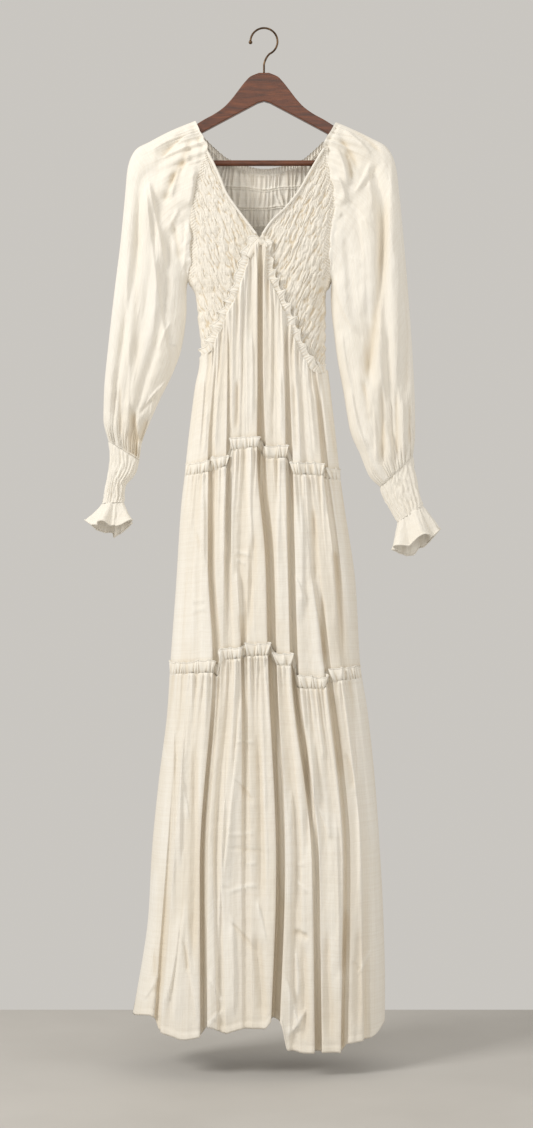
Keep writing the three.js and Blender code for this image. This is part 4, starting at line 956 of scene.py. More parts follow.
def wood(name):
    """Dark cherry wood with long grain, pores and a satin varnish"""
    material, tree, shader = new_material(name, {"Coat Weight": 0.25, "Coat Roughness": 0.25})
    grain = object_noise(tree, GRAIN, (-1100, 0), 6.0, 1.6)
    pores = object_noise(tree, PORES, (-1100, -300), 2.0)
    colour = ramp(tree, grain, GRAIN_COLOURS, (-800, 100))
    dark = ramp(tree, pores, PORE_COLOURS, (-800, -200))
    colour = mix_colour(tree, "MULTIPLY", 0.7, colour, dark, (-500, 100))
    geometry = node(tree, "ShaderNodeNewGeometry", (-1100, 400))
    worn = ramp(tree, geometry.outputs["Pointiness"], WORN_COLOURS, (-800, 400))
    colour = mix_colour(tree, "ADD", 1.0, colour, worn, (-300, 200))
    uneven_roughness(tree, shader, grain, 0.28, 0.5, (-500, -200))
    normal = add_bump(tree, pores, PORE_BUMP, None, (-300, -300))
    tree.links.new(normal, shader.inputs["Normal"])
    tree.links.new(colour, shader.inputs["Base Color"])
    return material


# Bronze: colours from its dark skin to the metal under it, and its patches in cells for each metre
BRONZE_COLOURS = [(0.35, (0.055, 0.032, 0.018)), (0.6, (0.14, 0.085, 0.045)), (0.75, (0.3, 0.2, 0.11))]
PATCHES = (160, 160, 160)


def bronze(name):
    """Dark aged wire with lighter rubbed patches"""
    material, tree, shader = new_material(name, {"Metallic": 0.9})
    patches = object_noise(tree, PATCHES, (-700, 0), 4.0)
    colour = ramp(tree, patches, BRONZE_COLOURS, (-400, 100))
    tree.links.new(colour, shader.inputs["Base Color"])
    uneven_roughness(tree, shader, patches, 0.3, 0.55, (-400, -200))
    return material


# Skirt
# Gathers below a seam: their width and height, how far they reach down, and their rounded profile
FINE_GATHERS = {"wide": 1.8, "tall": 6.0, "reach": 66}
LONG_GATHERS = {"wide": 3.8, "tall": 5.4, "reach": 330}
GATHER_POWER = 1.6


def gathers(half, place, drop, number, form, seed):
    """Gathers that hang from a seam, uneven in place, width, height and length, and fade as they fall"""
    random = np.random.default_rng(seed)
    low = place.min()
    high = place.max()
    height = np.zeros_like(place)
    for i in range(number):
        middle = blend(low, high, (i + random.uniform(0.15, 0.85)) / number)
        width = form["wide"] * random.uniform(0.7, 1.3) * (1 + drop / (2.4 * form["reach"]))
        length = form["reach"] * random.uniform(0.4, 1.6)
        drift = random.uniform(-0.06, 0.06) * 60 / form["reach"]
        fade = np.exp(-((drop / length) ** GATHER_POWER))
        ridge = np.exp(-(np.abs((place - middle - drift * drop) / width) ** GATHER_POWER))
        height += form["tall"] * random.uniform(0.45, 1.25) * half["detail"] * fade * ridge
    return height


def panel_x(half, columns, z, out):
    """Place across of each column, between the side lines and the valleys that bound its panel"""
    body = body_at(z, out)
    panels = len(half["valleys"]["width"]) + 1
    gap = np.minimum(np.floor(columns).astype(int), panels - 1)
    lines = [body["left"]] + [at_level(half["valleys"], i, z) for i in range(panels - 1)] + [body["right"]]
    lines = np.stack([np.broadcast_to(line, z.shape) for line in lines])
    place = np.arange(len(columns))
    return blend(lines[gap, :, place].T, lines[gap + 1, :, place].T, (columns - gap)[None])


def draped(half, columns, z, out, depth=1.0):
    """Surface of the cloth at each column and height, with its panels folded over the channels"""
    x = panel_x(half, columns, z, out)
    y, painted_shade = channel_y(half, x, z, out, depth)
    crown = crown_at(body_at(z, out), x)
    aside = fold_over(half, x, z, depth) * smooth(crown * 1.2)
    return {"x": x + aside, "y": y, "painted_shade": painted_shade, "crown": crown, "aside": aside}


def even_columns(half, level, count):
    """Columns a steady step apart along the folded cloth, closer on its panels than in its channels"""
    dense = np.linspace(0, len(half["valleys"]["width"]) + 1, 4001)
    at = draped(half, dense, np.full((1, len(dense)), level), 0.0)
    run = np.cumsum(np.abs(np.diff(at["x"][0])) + 0.4 * np.abs(np.diff(at["y"][0])))
    run = np.concatenate(([0], run))
    return np.interp(np.linspace(0, run[-1], count), run, dense)


def line_heights(half, columns, line, shift):
    """Height of an edge or seam of the skirt at each column of the folded cloth"""
    z = np.full((1, len(columns)), line["z"].mean())
    for _ in range(4):
        x = draped(half, columns, z, 0.0)["x"]
        z = along(line, "x", "z", x) + shift
    return z[0], x[0]


# A tier: how its rows close up towards the top, how much of the folds' depth its waist keeps, how strong
# its placed creases are, the crinkles all over it, and the pinch right below its seam
ROW_POWER = 1.2
WAIST_DEPTH = 0.12
CREASE_STRENGTH = 1.3
TIER_CRINKLES = ((0.6, 10, 34), (0.35, 5, 10))
PINCH = {"reach": 2.2, "flatter": 0.3, "deeper": 0.5}


def tier(half, top, top_shift, bottom, bottom_shift, count, number, proud=0.0, settle=0.0, hem=False):
    """Grid of one tier on one side, between two edges that run at their own height at each column"""
    panels = len(half["valleys"]["width"]) + 1
    level = (top["z"].mean() + bottom["z"].mean()) / 2
    columns = even_columns(half, level, panels * half["steps"] + 1)
    top_z, top_x = line_heights(half, columns, top, top_shift)
    bottom_z, _ = line_heights(half, columns, bottom, bottom_shift)
    down = np.linspace(0, 1, count)[:, None] ** ROW_POWER
    z = blend(top_z[None], bottom_z[None], down)
    out = proud * (1 - down) + 0 * z
    drop = top_z[None] - z
    above = z - bottom_z[None]
    depth = smooth(WAIST_DEPTH + drop / settle) if settle else 1.0
    cloth = draped(half, columns, z, out, depth)
    x = cloth["x"]
    place = top_x[None] + 0 * z
    fine = gathers(half, place, drop, number, FINE_GATHERS, half["seed"] + count)
    long = gathers(half, place, drop, number // 3, LONG_GATHERS, half["seed"] + count + 1)
    folds = CREASE_STRENGTH * creases(half["creases"], x, z)
    relief = fine + long + folds
    for i, (height, wide, tall) in enumerate(TIER_CRINKLES):
        relief = relief + height * noise(x / wide, z / tall, half["seed"] + i)
    pinch = bump(drop, PINCH["reach"])
    relief = relief * (1 - PINCH["flatter"] * pinch) - PINCH["deeper"] * pinch
    edge = smooth(above / 6)
    if hem:
        relief = relief + 0.7 * smooth((HEM_DEPTH - above) / 1.5) - 1.3 * bump(above - HEM_DEPTH, 1.8)
        z = z + 1.4 * noise(x / 16, 0 * x, half["seed"] + 5) * smooth(1 - above / 40)
        edge = 1.0
    y = cloth["y"] + half["faces"] * relief * cloth["crown"] * edge
    y[:, 0] += half["faces"] * SEAM_GAP / 2
    y[:, -1] += half["faces"] * SEAM_GAP / 2
    grid = sheet_grid(np.stack((x, y, z), axis=-1), half["faces"])
    # Painted shade in the dips between the fine gathers and in the troughs of the long gathers and creases,
    # and a painted shadow on the tier just above the frill that lies over its lower edge
    between = 0.5 * smooth((1.5 - fine) / 2.6) * np.exp(-drop / 75)
    troughs = 0.3 * smooth((2.4 - long - np.clip(folds, -3, 3)) / 4.5)
    behind_frill = 0.0 if hem else 0.3 * smooth((26 - above) / 12)
    grid["painted_shade"] = np.clip(0.42 * cloth["painted_shade"] + between + troughs + behind_frill, 0, 1)
    if proud:
        grid = with_ledge(grid, half, columns, z[:1] + LEDGE_RISE)
    return turned_up(grid, half) if hem else grid


def with_ledge(grid, half, columns, level):
    """The tier with one more row at its top, which closes the step between it and the bodice"""
    inside = draped(half, columns, level, -LEDGE_INSIDE + 0 * level, smooth(WAIST_DEPTH))
    ledge = np.stack((inside["x"], inside["y"], level), axis=-1)
    grid["points"] = np.concatenate((ledge, grid["points"]))
    # The ledge row takes the painted shade of the top row
    grid["painted_shade"] = np.concatenate((grid["painted_shade"][:1], grid["painted_shade"]))
    return grid


# The turned-up hem: heights of its rows, over how many rows of the tier the side line's slope is taken,
# how far behind the tier it lies, and how shaded it is
HEM_TURN = (0.4, 3.0, 6.5, 10.5)
SLOPE_ROWS = 6
HEM_BEHIND = 1.1
HEM_SHADE = 0.4


def turned_up(grid, half):
    """The hem's allowance, folded up behind the lower edge"""
    points = grid["points"]
    last = points[-1]
    rise = points[-SLOPE_ROWS] - last
    rise = rise / rise[:, 2:]
    behind = np.array((0, half["faces"] * HEM_BEHIND, 0))
    rows = np.array([last + up * rise - behind for up in HEM_TURN])
    shade = np.full(rows.shape[:2], HEM_SHADE)
    grid["points"] = np.concatenate((points, rows))
    grid["painted_shade"] = np.concatenate((grid["painted_shade"], shade))
    return grid


def frill_grids(half, foot, run, size, seed):
    """Header frill: pleated at its seam, it fans out in uneven waves to a rolled edge"""
    phase = 2 * math.pi * run / size["pitch"] + 2.4 * noise(run / (1.7 * size["pitch"]), 0 * run, seed)
    swell = 1 + 0.5 * noise(run / 19, 0 * run, seed + 1)
    wave = np.sin(phase) * swell
    sway = np.cos(phase + 0.6) * swell
    fold = math.pi * run / size["fold"] + 2.4 * noise(run / 13, 0 * run, seed + 3)
    rows = []
    painted_shades = []
    for up in np.linspace(-size["under"], 1, size["rows"]):
        open_up = max(up, 0.0)
        begun = float(smooth((up + size["under"]) / (size["under"] + 0.12)))
        tall = size["height"] * up * (1 + size["jag"] * wave * open_up)
        tall = tall + open_up * size["bob"] * noise(run / 15, 0 * run, seed + 2)
        x, out, z = foot(tall, open_up * size["sway"] * sway, open_up)
        pleat = np.abs(np.sin(fold + 0.4 * up * noise(run / 6, 0 * run, seed + 4))) ** 0.8
        pleated = size["pleat"] * (1 - 0.6 * open_up) * pleat * begun
        out = out + blend(size["base"], size["lift"], begun) + pleated
        belly = math.sin(math.pi * size["belly"] * open_up) ** 0.8 if open_up else 0.0
        out = out + belly * (size["flare"] + size["ripple"] * (1 + wave))
        rows.append(np.stack((x, half["faces"] * out, z), axis=-1))
        # Painted shade between the pleats and low on the frill, fading towards the rim, and a little more
        # where the rim's wave dips
        shade = 0.55 * (1 - pleat * 1.2) * (1 - 0.7 * open_up) + 0.16 * open_up * (0.3 - wave)
        painted_shades.append(np.clip(shade * smooth((1 - up) / 0.2), 0, 1))
    points = np.array(rows)
    cloth = sheet_grid(points, half["faces"])
    cloth["painted_shade"] = np.array(painted_shades)
    rim = points[-1] + np.array((0, -half["faces"] * 0.5, 0.5))
    return [cloth, rolled_rim(rim)]


# Frills: how far they run under their seam, how proud they lie there and above it, their flare and
# ripples, the depth and width of their pleats, and the pitch, sway, bob and raggedness of their waves
SEAM_FRILL = {
    "rows": 12, "height": FRILL_HEIGHT + FRILL_TALLER, "under": 0.2, "base": 0.0, "lift": 0.6,
    "ripple": 1.5, "flare": 2.8, "pleat": 3.2, "fold": 6.6, "pitch": 15.0, "sway": 1.8, "bob": 1.8,
    "jag": 0.05, "wing": 0.8, "belly": 0.77,
}
WAIST_FRILL = {
    "rows": 12, "height": 11.0, "under": 0.3, "base": WAIST_LAP + 0.2, "lift": WAIST_LAP + 0.6,
    "ripple": 1.1, "flare": 0.2, "pleat": 1.3, "fold": 5.2, "pitch": 22.0, "sway": 3.0, "bob": 1.0,
    "jag": 0.28, "belly": 0.6,
}

# Columns of a header frill in front (-1) and behind (1), and how many are left out at each end
FRILL_COLUMNS = {-1: 640, 1: 400}
FRILL_END = 4


def seam_frill(half, tops, seed):
    """Header frill of a tier, which follows the folded panels and drops into the channels between"""
    columns = even_columns(half, tops["z"].mean(), FRILL_COLUMNS[half["faces"]])
    columns = columns[FRILL_END:-FRILL_END]
    line, x = line_heights(half, columns, tops, -FRILL_HEIGHT)
    at = draped(half, columns, line[None], 0.0)
    run = np.cumsum(np.hypot(np.gradient(x), 0.7 * np.gradient(at["y"][0])))

    def foot(tall, aside, open_up):
        z = line + tall
        here = draped(half, columns, z[None], 0.0)
        spread = SEAM_FRILL["wing"] * open_up * here["aside"][0]
        return here["x"][0] + aside + spread, half["faces"] * here["y"][0], z

    return frill_grids(half, foot, run, SEAM_FRILL, seed)


def waist_frill(half, start, end, seed):
    """Frill along one stretch of the raised waist seam, square to it"""
    samples = np.linspace(start, end, 400)
    line = along(half["waist"], "x", "z", samples)
    length = np.concatenate(([0], np.cumsum(np.hypot(np.diff(samples), np.diff(line)))))
    run = np.linspace(0, length[-1], 340)
    x = np.interp(run, length, samples)
    z = along(half["waist"], "x", "z", x)
    ahead = along(half["waist"], "x", "z", x + 1) - along(half["waist"], "x", "z", x - 1)
    lean = -ahead / np.hypot(2, ahead)
    lean = np.convolve(np.pad(lean, 8, mode="edge"), np.ones(17) / 17, mode="valid")
    rise = np.sqrt(1 - lean**2)

    def foot(tall, aside, open_up):
        px = x + tall * lean + aside * rise
        pz = z + tall * rise - aside * lean
        nearby = [half["faces"] * half["y"](px + move, pz) for move in (-FRILL_BRIDGE, 0, FRILL_BRIDGE)]
        return px, np.max(nearby, axis=0), pz

    return frill_grids(half, foot, run, WAIST_FRILL, seed)


# The folded corner at the point of the waist: the lines of its upper and lower edge, and its lift
APEX_UPPER = table("x z", (-28, -368), (-21, -352), (-10, -340.5), (-1, -344), (6, -352))
APEX_LOWER = table("x z", (-21, -374), (-14, -362), (-7, -353), (-2, -352), (2.5, -358))
APEX_LIFT = 3.6
APEX_ROWS = 12


def apex_cap():
    """Corner of the left waist frill, folded over the point where the frills meet"""
    share = np.linspace(0, 4, 60)
    top, low = [
        np.stack([np.interp(share, range(5), line[key]) for key in ("x", "z")], axis=1)
        for line in (APEX_UPPER, APEX_LOWER)
    ]
    rows = []
    for up in np.linspace(0, 1, APEX_ROWS):
        x, z = blend(low, top, up).T
        lift = LAP + APEX_LIFT + 2.2 * math.sin(math.pi * up) ** 0.7 + 0.8 * np.sin(3.1 * share + 2 * up)
        rows.append(np.stack((x, front_y(x, z) - lift, z), axis=-1))
    points = np.array(rows)
    cloth = sheet_grid(points, -1)
    # Painted shade, darkest along the cap's lower edge and gone at its rim
    cloth["painted_shade"] = np.broadcast_to(np.linspace(0.3, 0.0, APEX_ROWS)[:, None], points.shape[:2])
    return [cloth, rolled_rim(points[-1] + np.array((0, -0.3, 0)))]


# Bodice
# What belongs to each arm, with the lower edge of its half of the bodice front
LEFT_ARM = {
    "sign": -1, "neck": LEFT_NECK, "neck_share": 0.198, "raglan": LEFT_RAGLAN,
    "raglan_back": LEFT_RAGLAN_BACK, "valleys": LEFT_SLEEVE_VALLEYS, "creases": LEFT_SLEEVE_CREASES,
    "sleeve": LEFT_SLEEVE, "cuff": LEFT_CUFF, "flounce": LEFT_FLOUNCE,
    "bodice_bottom": -531.0, "seed": 21,
}
RIGHT_ARM = {
    "sign": 1, "neck": RIGHT_NECK, "neck_share": 0.169, "raglan": RIGHT_RAGLAN,
    "raglan_back": RIGHT_RAGLAN_BACK, "valleys": RIGHT_SLEEVE_VALLEYS, "creases": RIGHT_SLEEVE_CREASES,
    "sleeve": RIGHT_SLEEVE, "cuff": RIGHT_CUFF, "flounce": RIGHT_FLOUNCE,
    "bodice_bottom": -550.0, "seed": 37,
}

# Shirring: its turn towards the middle, how far its rows wander, and the height, width, length and seed
# of its broad and its fine puckers
SHIRRING_TURN = 0.42
SHIRRING_WANDER = 1.3
SHIRRING_PUCKERS = ((1.9, 4.4, 24, 0), (1.7, 2.5, 12, 1))
SHIRRING_LEVEL = 1.2
PUCKER_POWER = 0.7


def shirred(x, z, sign, seed):
    """Puffy lens-like puckers with sharp creases between, which run down towards the middle"""
    lean = sign * SHIRRING_TURN
    length = z * math.cos(lean) + x * math.sin(lean)
    across = x * math.cos(lean) - z * math.sin(lean)
    across = across + SHIRRING_WANDER * noise(length / 11, across / 18, seed + 3)
    relief = 0.0
    for height, wide, tall, more in SHIRRING_PUCKERS:
        relief = relief + height * np.abs(noise(across / wide, length / tall, seed + more)) ** PUCKER_POWER
    return relief - SHIRRING_LEVEL


def side_pucker(x, z, side, sign):
    """Move across near a side seam, which the shirring draws into small waves"""
    near = smooth(1 - np.abs(x - side) / 22) * smooth((UNDERARM_Z - 4 - z) / 8)
    return 1.6 * noise(z / 7, x / 30, 34 + 8 * sign) * near


def front_edges(arm, z):
    """Outer and inner edge of a half of the front: raglan seam and side, V neck and waist seam"""
    sign = arm["sign"]
    side = (WAIST_LINE["x"] - NECK_POINT_X) * sign >= 0
    waist_side = {"x": WAIST_LINE["x"][side], "z": WAIST_LINE["z"][side]}
    body = body_at(z, 0.0)
    side_x = body["left"] if sign < 0 else body["right"]
    outer = np.where(z >= UNDERARM_Z, along(arm["raglan"], "z", "x", z), side_x)
    opening = np.where(z > NECK_POINT_Z, along(arm["neck"], "z", "x", z), along(waist_side, "z", "x", z))
    inner = np.maximum(opening, outer + BODICE_TIP) if sign < 0 else np.minimum(opening, outer - BODICE_TIP)
    return outer, inner


# Front of the bodice: its grid, and the short ribs beside the raglan seam
FRONT_ROWS = 300
FRONT_COLUMNS = 140
RIBS = {"reach": 10.0, "pitch": 5.0, "slant": 0.7, "height": 2.4, "level": 0.4}
SIDE_OVER = 0.7


def bodice_front(arm):
    """Half of the bodice front, with its puckers and the short ribs beside the raglan seam"""
    sign = arm["sign"]
    first = blend(arm["raglan"]["z"][0], UNDERARM_Z, arm["neck_share"])
    z = np.linspace(first, arm["bodice_bottom"], FRONT_ROWS)[:, None]
    outer, inner = front_edges(arm, z)
    share = np.linspace(0, 1, FRONT_COLUMNS)[None]
    x = blend(outer, inner, share)
    z = z + 0 * x
    beside_sleeve = z >= UNDERARM_Z
    from_edge = np.minimum(np.abs(x - outer), np.abs(x - inner))
    relief = PUCKER * shirred(x, z, sign, arm["seed"])
    along_seam = z + RIBS["slant"] * sign * (x - outer) + 2 * noise(z / 14, 0 * z, 5)
    ribs = np.abs(np.sin(math.pi * along_seam / RIBS["pitch"]))
    near = bump(x - outer, RIBS["reach"]) * beside_sleeve
    relief = relief * (1 - 0.8 * near) + RIBS["height"] * near * (ribs - RIBS["level"])
    relief = relief * smooth(0.25 + from_edge / 5)

    # The inner edge runs under the waist seam, the outer one under the sleeve, and the side over the back
    under = smooth((share - 0.94) / 0.06) * smooth((NECK_POINT_Z - z) / 5)
    y = front_y(x, z) - np.maximum(relief, -1.0) * (1 - under) + 0.5 * under
    x = x - sign * WAIST_TUCK * under
    tuck = smooth(1 - np.abs(x - outer) / SEAM_TUCK) * beside_sleeve
    x = x + sign * SEAM_TUCK * tuck
    y = y + 0.8 * tuck
    x = x + side_pucker(x, z, outer, sign)
    lap = smooth(1 - np.abs(share) / 0.03) * smooth((UNDERARM_Z - z) / 4)
    x = x + sign * SIDE_OVER * lap
    y = y + SIDE_LAP * lap
    grid = sheet_grid(np.stack((x, y, z), axis=-1), -1)
    grid["uv"] = (x, z)
    # Painted shade in the creases between the puckers, with a light painted shade over all of the shirring
    grid["painted_shade"] = 0.1 + 0.75 * smooth((0.3 - relief) / 1.4)
    return grid


# Back of the bodice: its grid, the wander, pitch and heights of its ruches, and how each elastic row
# wanders, flattens the ruches near it, and shows as two grooves with a ridge between
BACK_ROWS = (130, 60)
BACK_COLUMNS = 190
RUCHES = {"wander": 3.4, "pitch": 7.5, "height": 3.6, "crumple": 1.5, "level": 1.8}
ELASTIC = {"wander": 3.2, "reach": 5.5, "flatter": 0.8}
GROOVE = {"depth": 1.6, "width": 0.9}
RIDGE = {"height": 1.0, "width": 0.8}


def bodice_back():
    """Back of the bodice: upright ruches held by three double rows of elastic"""
    down = np.concatenate((np.linspace(0, 0.42, BACK_ROWS[0]), np.linspace(0.43, 1, BACK_ROWS[1])))[:, None]
    across = np.linspace(0, 1, BACK_COLUMNS)[None]
    x = blend(-CASING_HALF, CASING_HALF, across) + 0 * down
    z = 0 * x
    for _ in range(5):
        top = along(BACK_NECK, "x", "z", x) - CASING_HEIGHT - CASING_GAP + CASING_TUCK
        z = blend(top, along(BACK_WAIST, "x", "z", x) + SEAM_GAP, down)
        body = body_at(z, 0.0)
        left = np.where(z > UNDERARM_Z, along(LEFT_RAGLAN_BACK, "z", "x", z), body["left"])
        right = np.where(z > UNDERARM_Z, along(RIGHT_RAGLAN_BACK, "z", "x", z), body["right"])
        x = blend(left + 2 * SEAM_GAP, right - 2 * SEAM_GAP, across)
    x = x + side_pucker(x, z, left, -1) + side_pucker(x, z, right, 1)
    wander = RUCHES["wander"] * noise(x / 26, z / 60, 71)
    ruche = np.abs(np.sin(math.pi * (x + wander) / RUCHES["pitch"] + 2.6 * noise(x / 13, z / 50, 72)))
    relief = RUCHES["height"] * ruche + RUCHES["crumple"] * noise(x / 4.2, z / 26, 73) - RUCHES["level"]
    relief = relief * (0.35 + 0.65 * smooth((z + 440) / 90))
    for row in ELASTIC_ROWS:
        level = row + ELASTIC["wander"] * noise(x / 30, 0 * x, 74 + int(abs(row)))
        relief = relief * (1 - ELASTIC["flatter"] * bump(z - level, ELASTIC["reach"]))
        for offset in (-ELASTIC_PAIR, ELASTIC_PAIR):
            relief = relief - GROOVE["depth"] * bump(z - level - offset, GROOVE["width"])
            relief = relief + RIDGE["height"] * bump(z - level, RIDGE["width"])
    edge = smooth((1 - down) / 0.02) * smooth(across / 0.02) * smooth((1 - across) / 0.02)
    tucked = smooth(1 - (top - z) / CASING_TUCK)
    y = back_y(x, z) + relief * edge * (1 - tucked) - 1.0 * tucked
    under = SEAM_GAP / 2 - SIDE_LAP * smooth((UNDERARM_Z - z) / 4)
    y[:, 0] += under[:, 0]
    y[:, -1] += under[:, -1]
    grid = sheet_grid(np.stack((x, y, z), axis=-1), 1)
    grid["uv"] = (x, z)
    # Painted shade in the hollows between the ruches and in the elastic's grooves
    grid["painted_shade"] = 0.2 * smooth((0.4 - relief) / 2.0)
    return grid


# Ruches of the neck casing: their pitch and how far they puff out
CASING_PITCH = 4.6
CASING_PUFF = 1.0


def neck_casing():
    """Ruched casing at the back of the neck, with its two stitched rows"""
    x = np.linspace(-CASING_HALF, CASING_HALF, 260)[None]
    down = np.linspace(0, 1, 14)[:, None]
    top = along(BACK_NECK, "x", "z", x)
    z = top - down * CASING_HEIGHT
    ruche = np.sin(2 * math.pi * x / CASING_PITCH + 2.6 * noise(x / 9, 0 * x, 81))
    full = np.sin(math.pi * np.clip(down, 0, 1)) ** 0.5
    y = back_y(x, z) + 0.4 + (0.9 + CASING_PUFF * ruche) * full - 1.0 * (1 - full)
    z = z + 0.7 * ruche * (1 - down)
    return sheet_grid(np.stack((x + 0 * z, y, z), axis=-1), 1)


# Binding: how far it stands up, the stitched groove along it, and the small pulls of its stitches
BINDING_LIFT = 1.5
STITCH_LINE = {"turn": 2.3, "width": 0.25, "depth": 0.5}
STITCH_PULL = {"height": 0.18, "pitch": 3.4}


def neck_binding(arm):
    """Narrow rolled binding along the neck's front edge"""
    z = np.linspace(arm["neck"]["z"][0] - 4, NECK_POINT_Z + 5, 120)
    edge = along(arm["neck"], "z", "x", z) - arm["sign"] / 2
    rows = []
    for turn in np.linspace(0, math.pi, 9):
        x = edge + arm["sign"] * BINDING_WIDTH * (1 - math.cos(turn)) / 2
        from_line = np.array(turn - STITCH_LINE["turn"])
        groove = STITCH_LINE["depth"] * float(bump(from_line, STITCH_LINE["width"]))
        lift = 0.4 + BINDING_LIFT * math.sin(turn) - groove
        pull = STITCH_PULL["height"] * np.sin(2 * math.pi * z / STITCH_PULL["pitch"] + arm["seed"])
        rows.append(np.stack((x, front_y(x, z) - LAP - lift - pull, z), axis=-1))
    return sheet_grid(np.array(rows), -1)


# Sleeves
def section_point(section, across, is_front):
    """Point of a section: across is 0 at its outer end and 1 at its inner end"""
    rounding = np.sqrt(np.maximum(1 - np.abs(2 * across - 1) ** 3, 0))
    y = np.where(is_front, -section["front"], section["back"]) * rounding
    x = blend(section["outX"], section["inX"], across)
    z = blend(section["outZ"], section["inZ"], across)
    return np.stack(np.broadcast_arrays(x, y, z), axis=-1)


def section_at(sections, step):
    """Section at a step along a sleeve, cuff or flounce"""
    keys = ("outX", "outZ", "inX", "inZ", "front", "back")
    return {key: along(sections, "step", key, step) for key in keys}


def raglan_point(raglan, surface, down, neck_share):
    """Point of a raglan seam, which rises from the garment's flat edge to its surface over the neck"""
    z = blend(raglan["z"][0], UNDERARM_Z, down)
    x = along(raglan, "z", "x", z)
    rise = np.minimum(down / neck_share, 1)
    return np.stack((x, surface(x, z) * np.sqrt(1 - (1 - rise) ** 2), z), axis=-1)


def sleeve_form(sections, arm, across, is_front, step):
    """The sleeve's broad form: from the raglan seam through its sections, with long valleys in front"""
    last = sections["step"][-1]
    points = section_point(section_at(sections, step), across + 0 * step, is_front)
    share = along(RAGLAN_FADE, "step", "fade", step)[..., None]
    front_seam = raglan_point(arm["raglan"], front_y, across, arm["neck_share"])
    back_seam = raglan_point(arm["raglan_back"], back_y, across, BACK_NECK_SHARE)
    seam = np.where(is_front[..., None], front_seam, back_seam)
    start = section_point(section_at(sections, np.zeros((1, 1))), across, is_front)
    points = points + share * (seam - start)
    fade = np.minimum(1, step / 3) * np.minimum(1, (last - step) / 2)
    valleys = arm["valleys"]
    for i in range(len(valleys["depth"])):
        places = [valleys[key][i] for key in ("top", "elbow", "cuff")]
        place = np.interp(step / last, VALLEY_STEPS, places)
        dip = valleys["depth"][i] * fade * bump(across - place, valleys["width"][i])
        points[..., 1] += np.where(is_front, dip, 0)
    return points


# Sleeve: its grid, its crinkles, and how far its last row turns inwards
SLEEVE_FRONT_COLUMNS = 140
SLEEVE_BACK_COLUMNS = 80
SLEEVE_ROWS = 168
SLEEVE_CRINKLES = ((0.9, 14, 34), (0.5, 6, 11))
LIP_SHARE = 0.2


def sleeve(sections, arm):
    """Bishop sleeve: it meets the raglan seam, and its folds run down to the gathers of the cuff"""
    seed = arm["seed"]
    front_turn = np.linspace(0, 0.5, SLEEVE_FRONT_COLUMNS, endpoint=False)
    back_turn = np.linspace(0.5, 1, SLEEVE_BACK_COLUMNS, endpoint=False)
    turn = np.concatenate((front_turn, back_turn))[None]
    is_front = turn < 0.5
    across = (1 - np.cos(2 * math.pi * turn)) / 2
    last = sections["step"][-1]
    step = (last * np.linspace(0, 1, SLEEVE_ROWS))[:, None]
    down = step / last
    points = sleeve_form(sections, arm, across, is_front, step)
    x = points[..., 0]
    z = points[..., 2]
    front_relief = creases(arm["creases"], x, z)
    back_relief = creases(SLEEVE_BACK_CREASES, x, z, arm["sign"])
    relief = 1.3 * np.where(is_front, front_relief, back_relief)

    # Pleats above the cuff, pleats and a flat casing below the neck, and puffs along the raglan seam
    pleats = 3.4 * np.abs(np.sin(11 * math.pi * across + 5 * noise(across * 8, down * 3, seed))) - 1.7
    near_cuff = smooth((step - last + 1.9) / 1.9)
    below_neck = across - arm["neck_share"]
    near_neck = smooth(1 - step / 3.0) * smooth(1 - below_neck / 0.16)
    neck_pleats = np.abs(noise(across / 0.016, down * 4, seed + 2)) * 7.0 - 1.5
    casing = near_neck * (smooth(step / 0.18) * smooth((0.36 - step) / 0.18) * -3.0)
    seam_edge = bump(step, 1.2) * smooth(below_neck / 0.1)
    puffs = 3.0 * np.abs(noise(across * 17, step * 0.7, seed + 4)) ** 0.8 + 0.7 * bump(step - 0.3, 0.25)
    relief = relief + near_cuff * pleats + near_neck * neck_pleats + casing + seam_edge * puffs
    for i, (height, wide, tall) in enumerate(SLEEVE_CRINKLES):
        relief = relief + height * noise(x / wide, z / tall, seed + 6 + i)

    # The relief fades at the raglan seam, at the cuff and at the two folded sides
    edge = smooth((last - step) / 0.15)
    body = smooth(across / 0.05) * smooth((1 - across) / 0.05)
    attached = 0.1 + 0.9 * smooth(step / 0.14)
    points[..., 1] += np.where(is_front, -1, 1) * relief * edge * body * attached
    # The depth of the front's troughs, used only for their painted shade
    deep = {**arm["creases"], "height": np.minimum(arm["creases"]["height"], 0)}
    recess = np.where(is_front, -creases(deep, x, z), 0)
    ragged = bump(step, 0.5) * np.abs(noise(across * 19, 0 * step, seed + 8)) * smooth(across / 0.2)
    points[..., 0] -= arm["sign"] * 4.5 * ragged * smooth((1 - across) / 0.1)
    lip = blend(points[-1], points[-1].mean(axis=0), LIP_SHARE)
    grid = tube_grid(np.concatenate((points, lip[None])))
    # Painted shade in the troughs, between the pleats above the cuff, among the puffs and pleats near the
    # neck and raglan seam, and deeper in the front's recesses
    low = smooth((-0.6 - relief) / 7.0) + 0.25 * near_cuff * smooth(-pleats / 1.7)
    low = low + 0.3 * (near_neck + seam_edge) * smooth((1.2 - puffs) / 2.4)
    low = np.clip(0.45 * low + 0.3 * smooth(recess / 6), 0, 1)
    grid["painted_shade"] = np.concatenate((low, low[-1:]))
    return grid


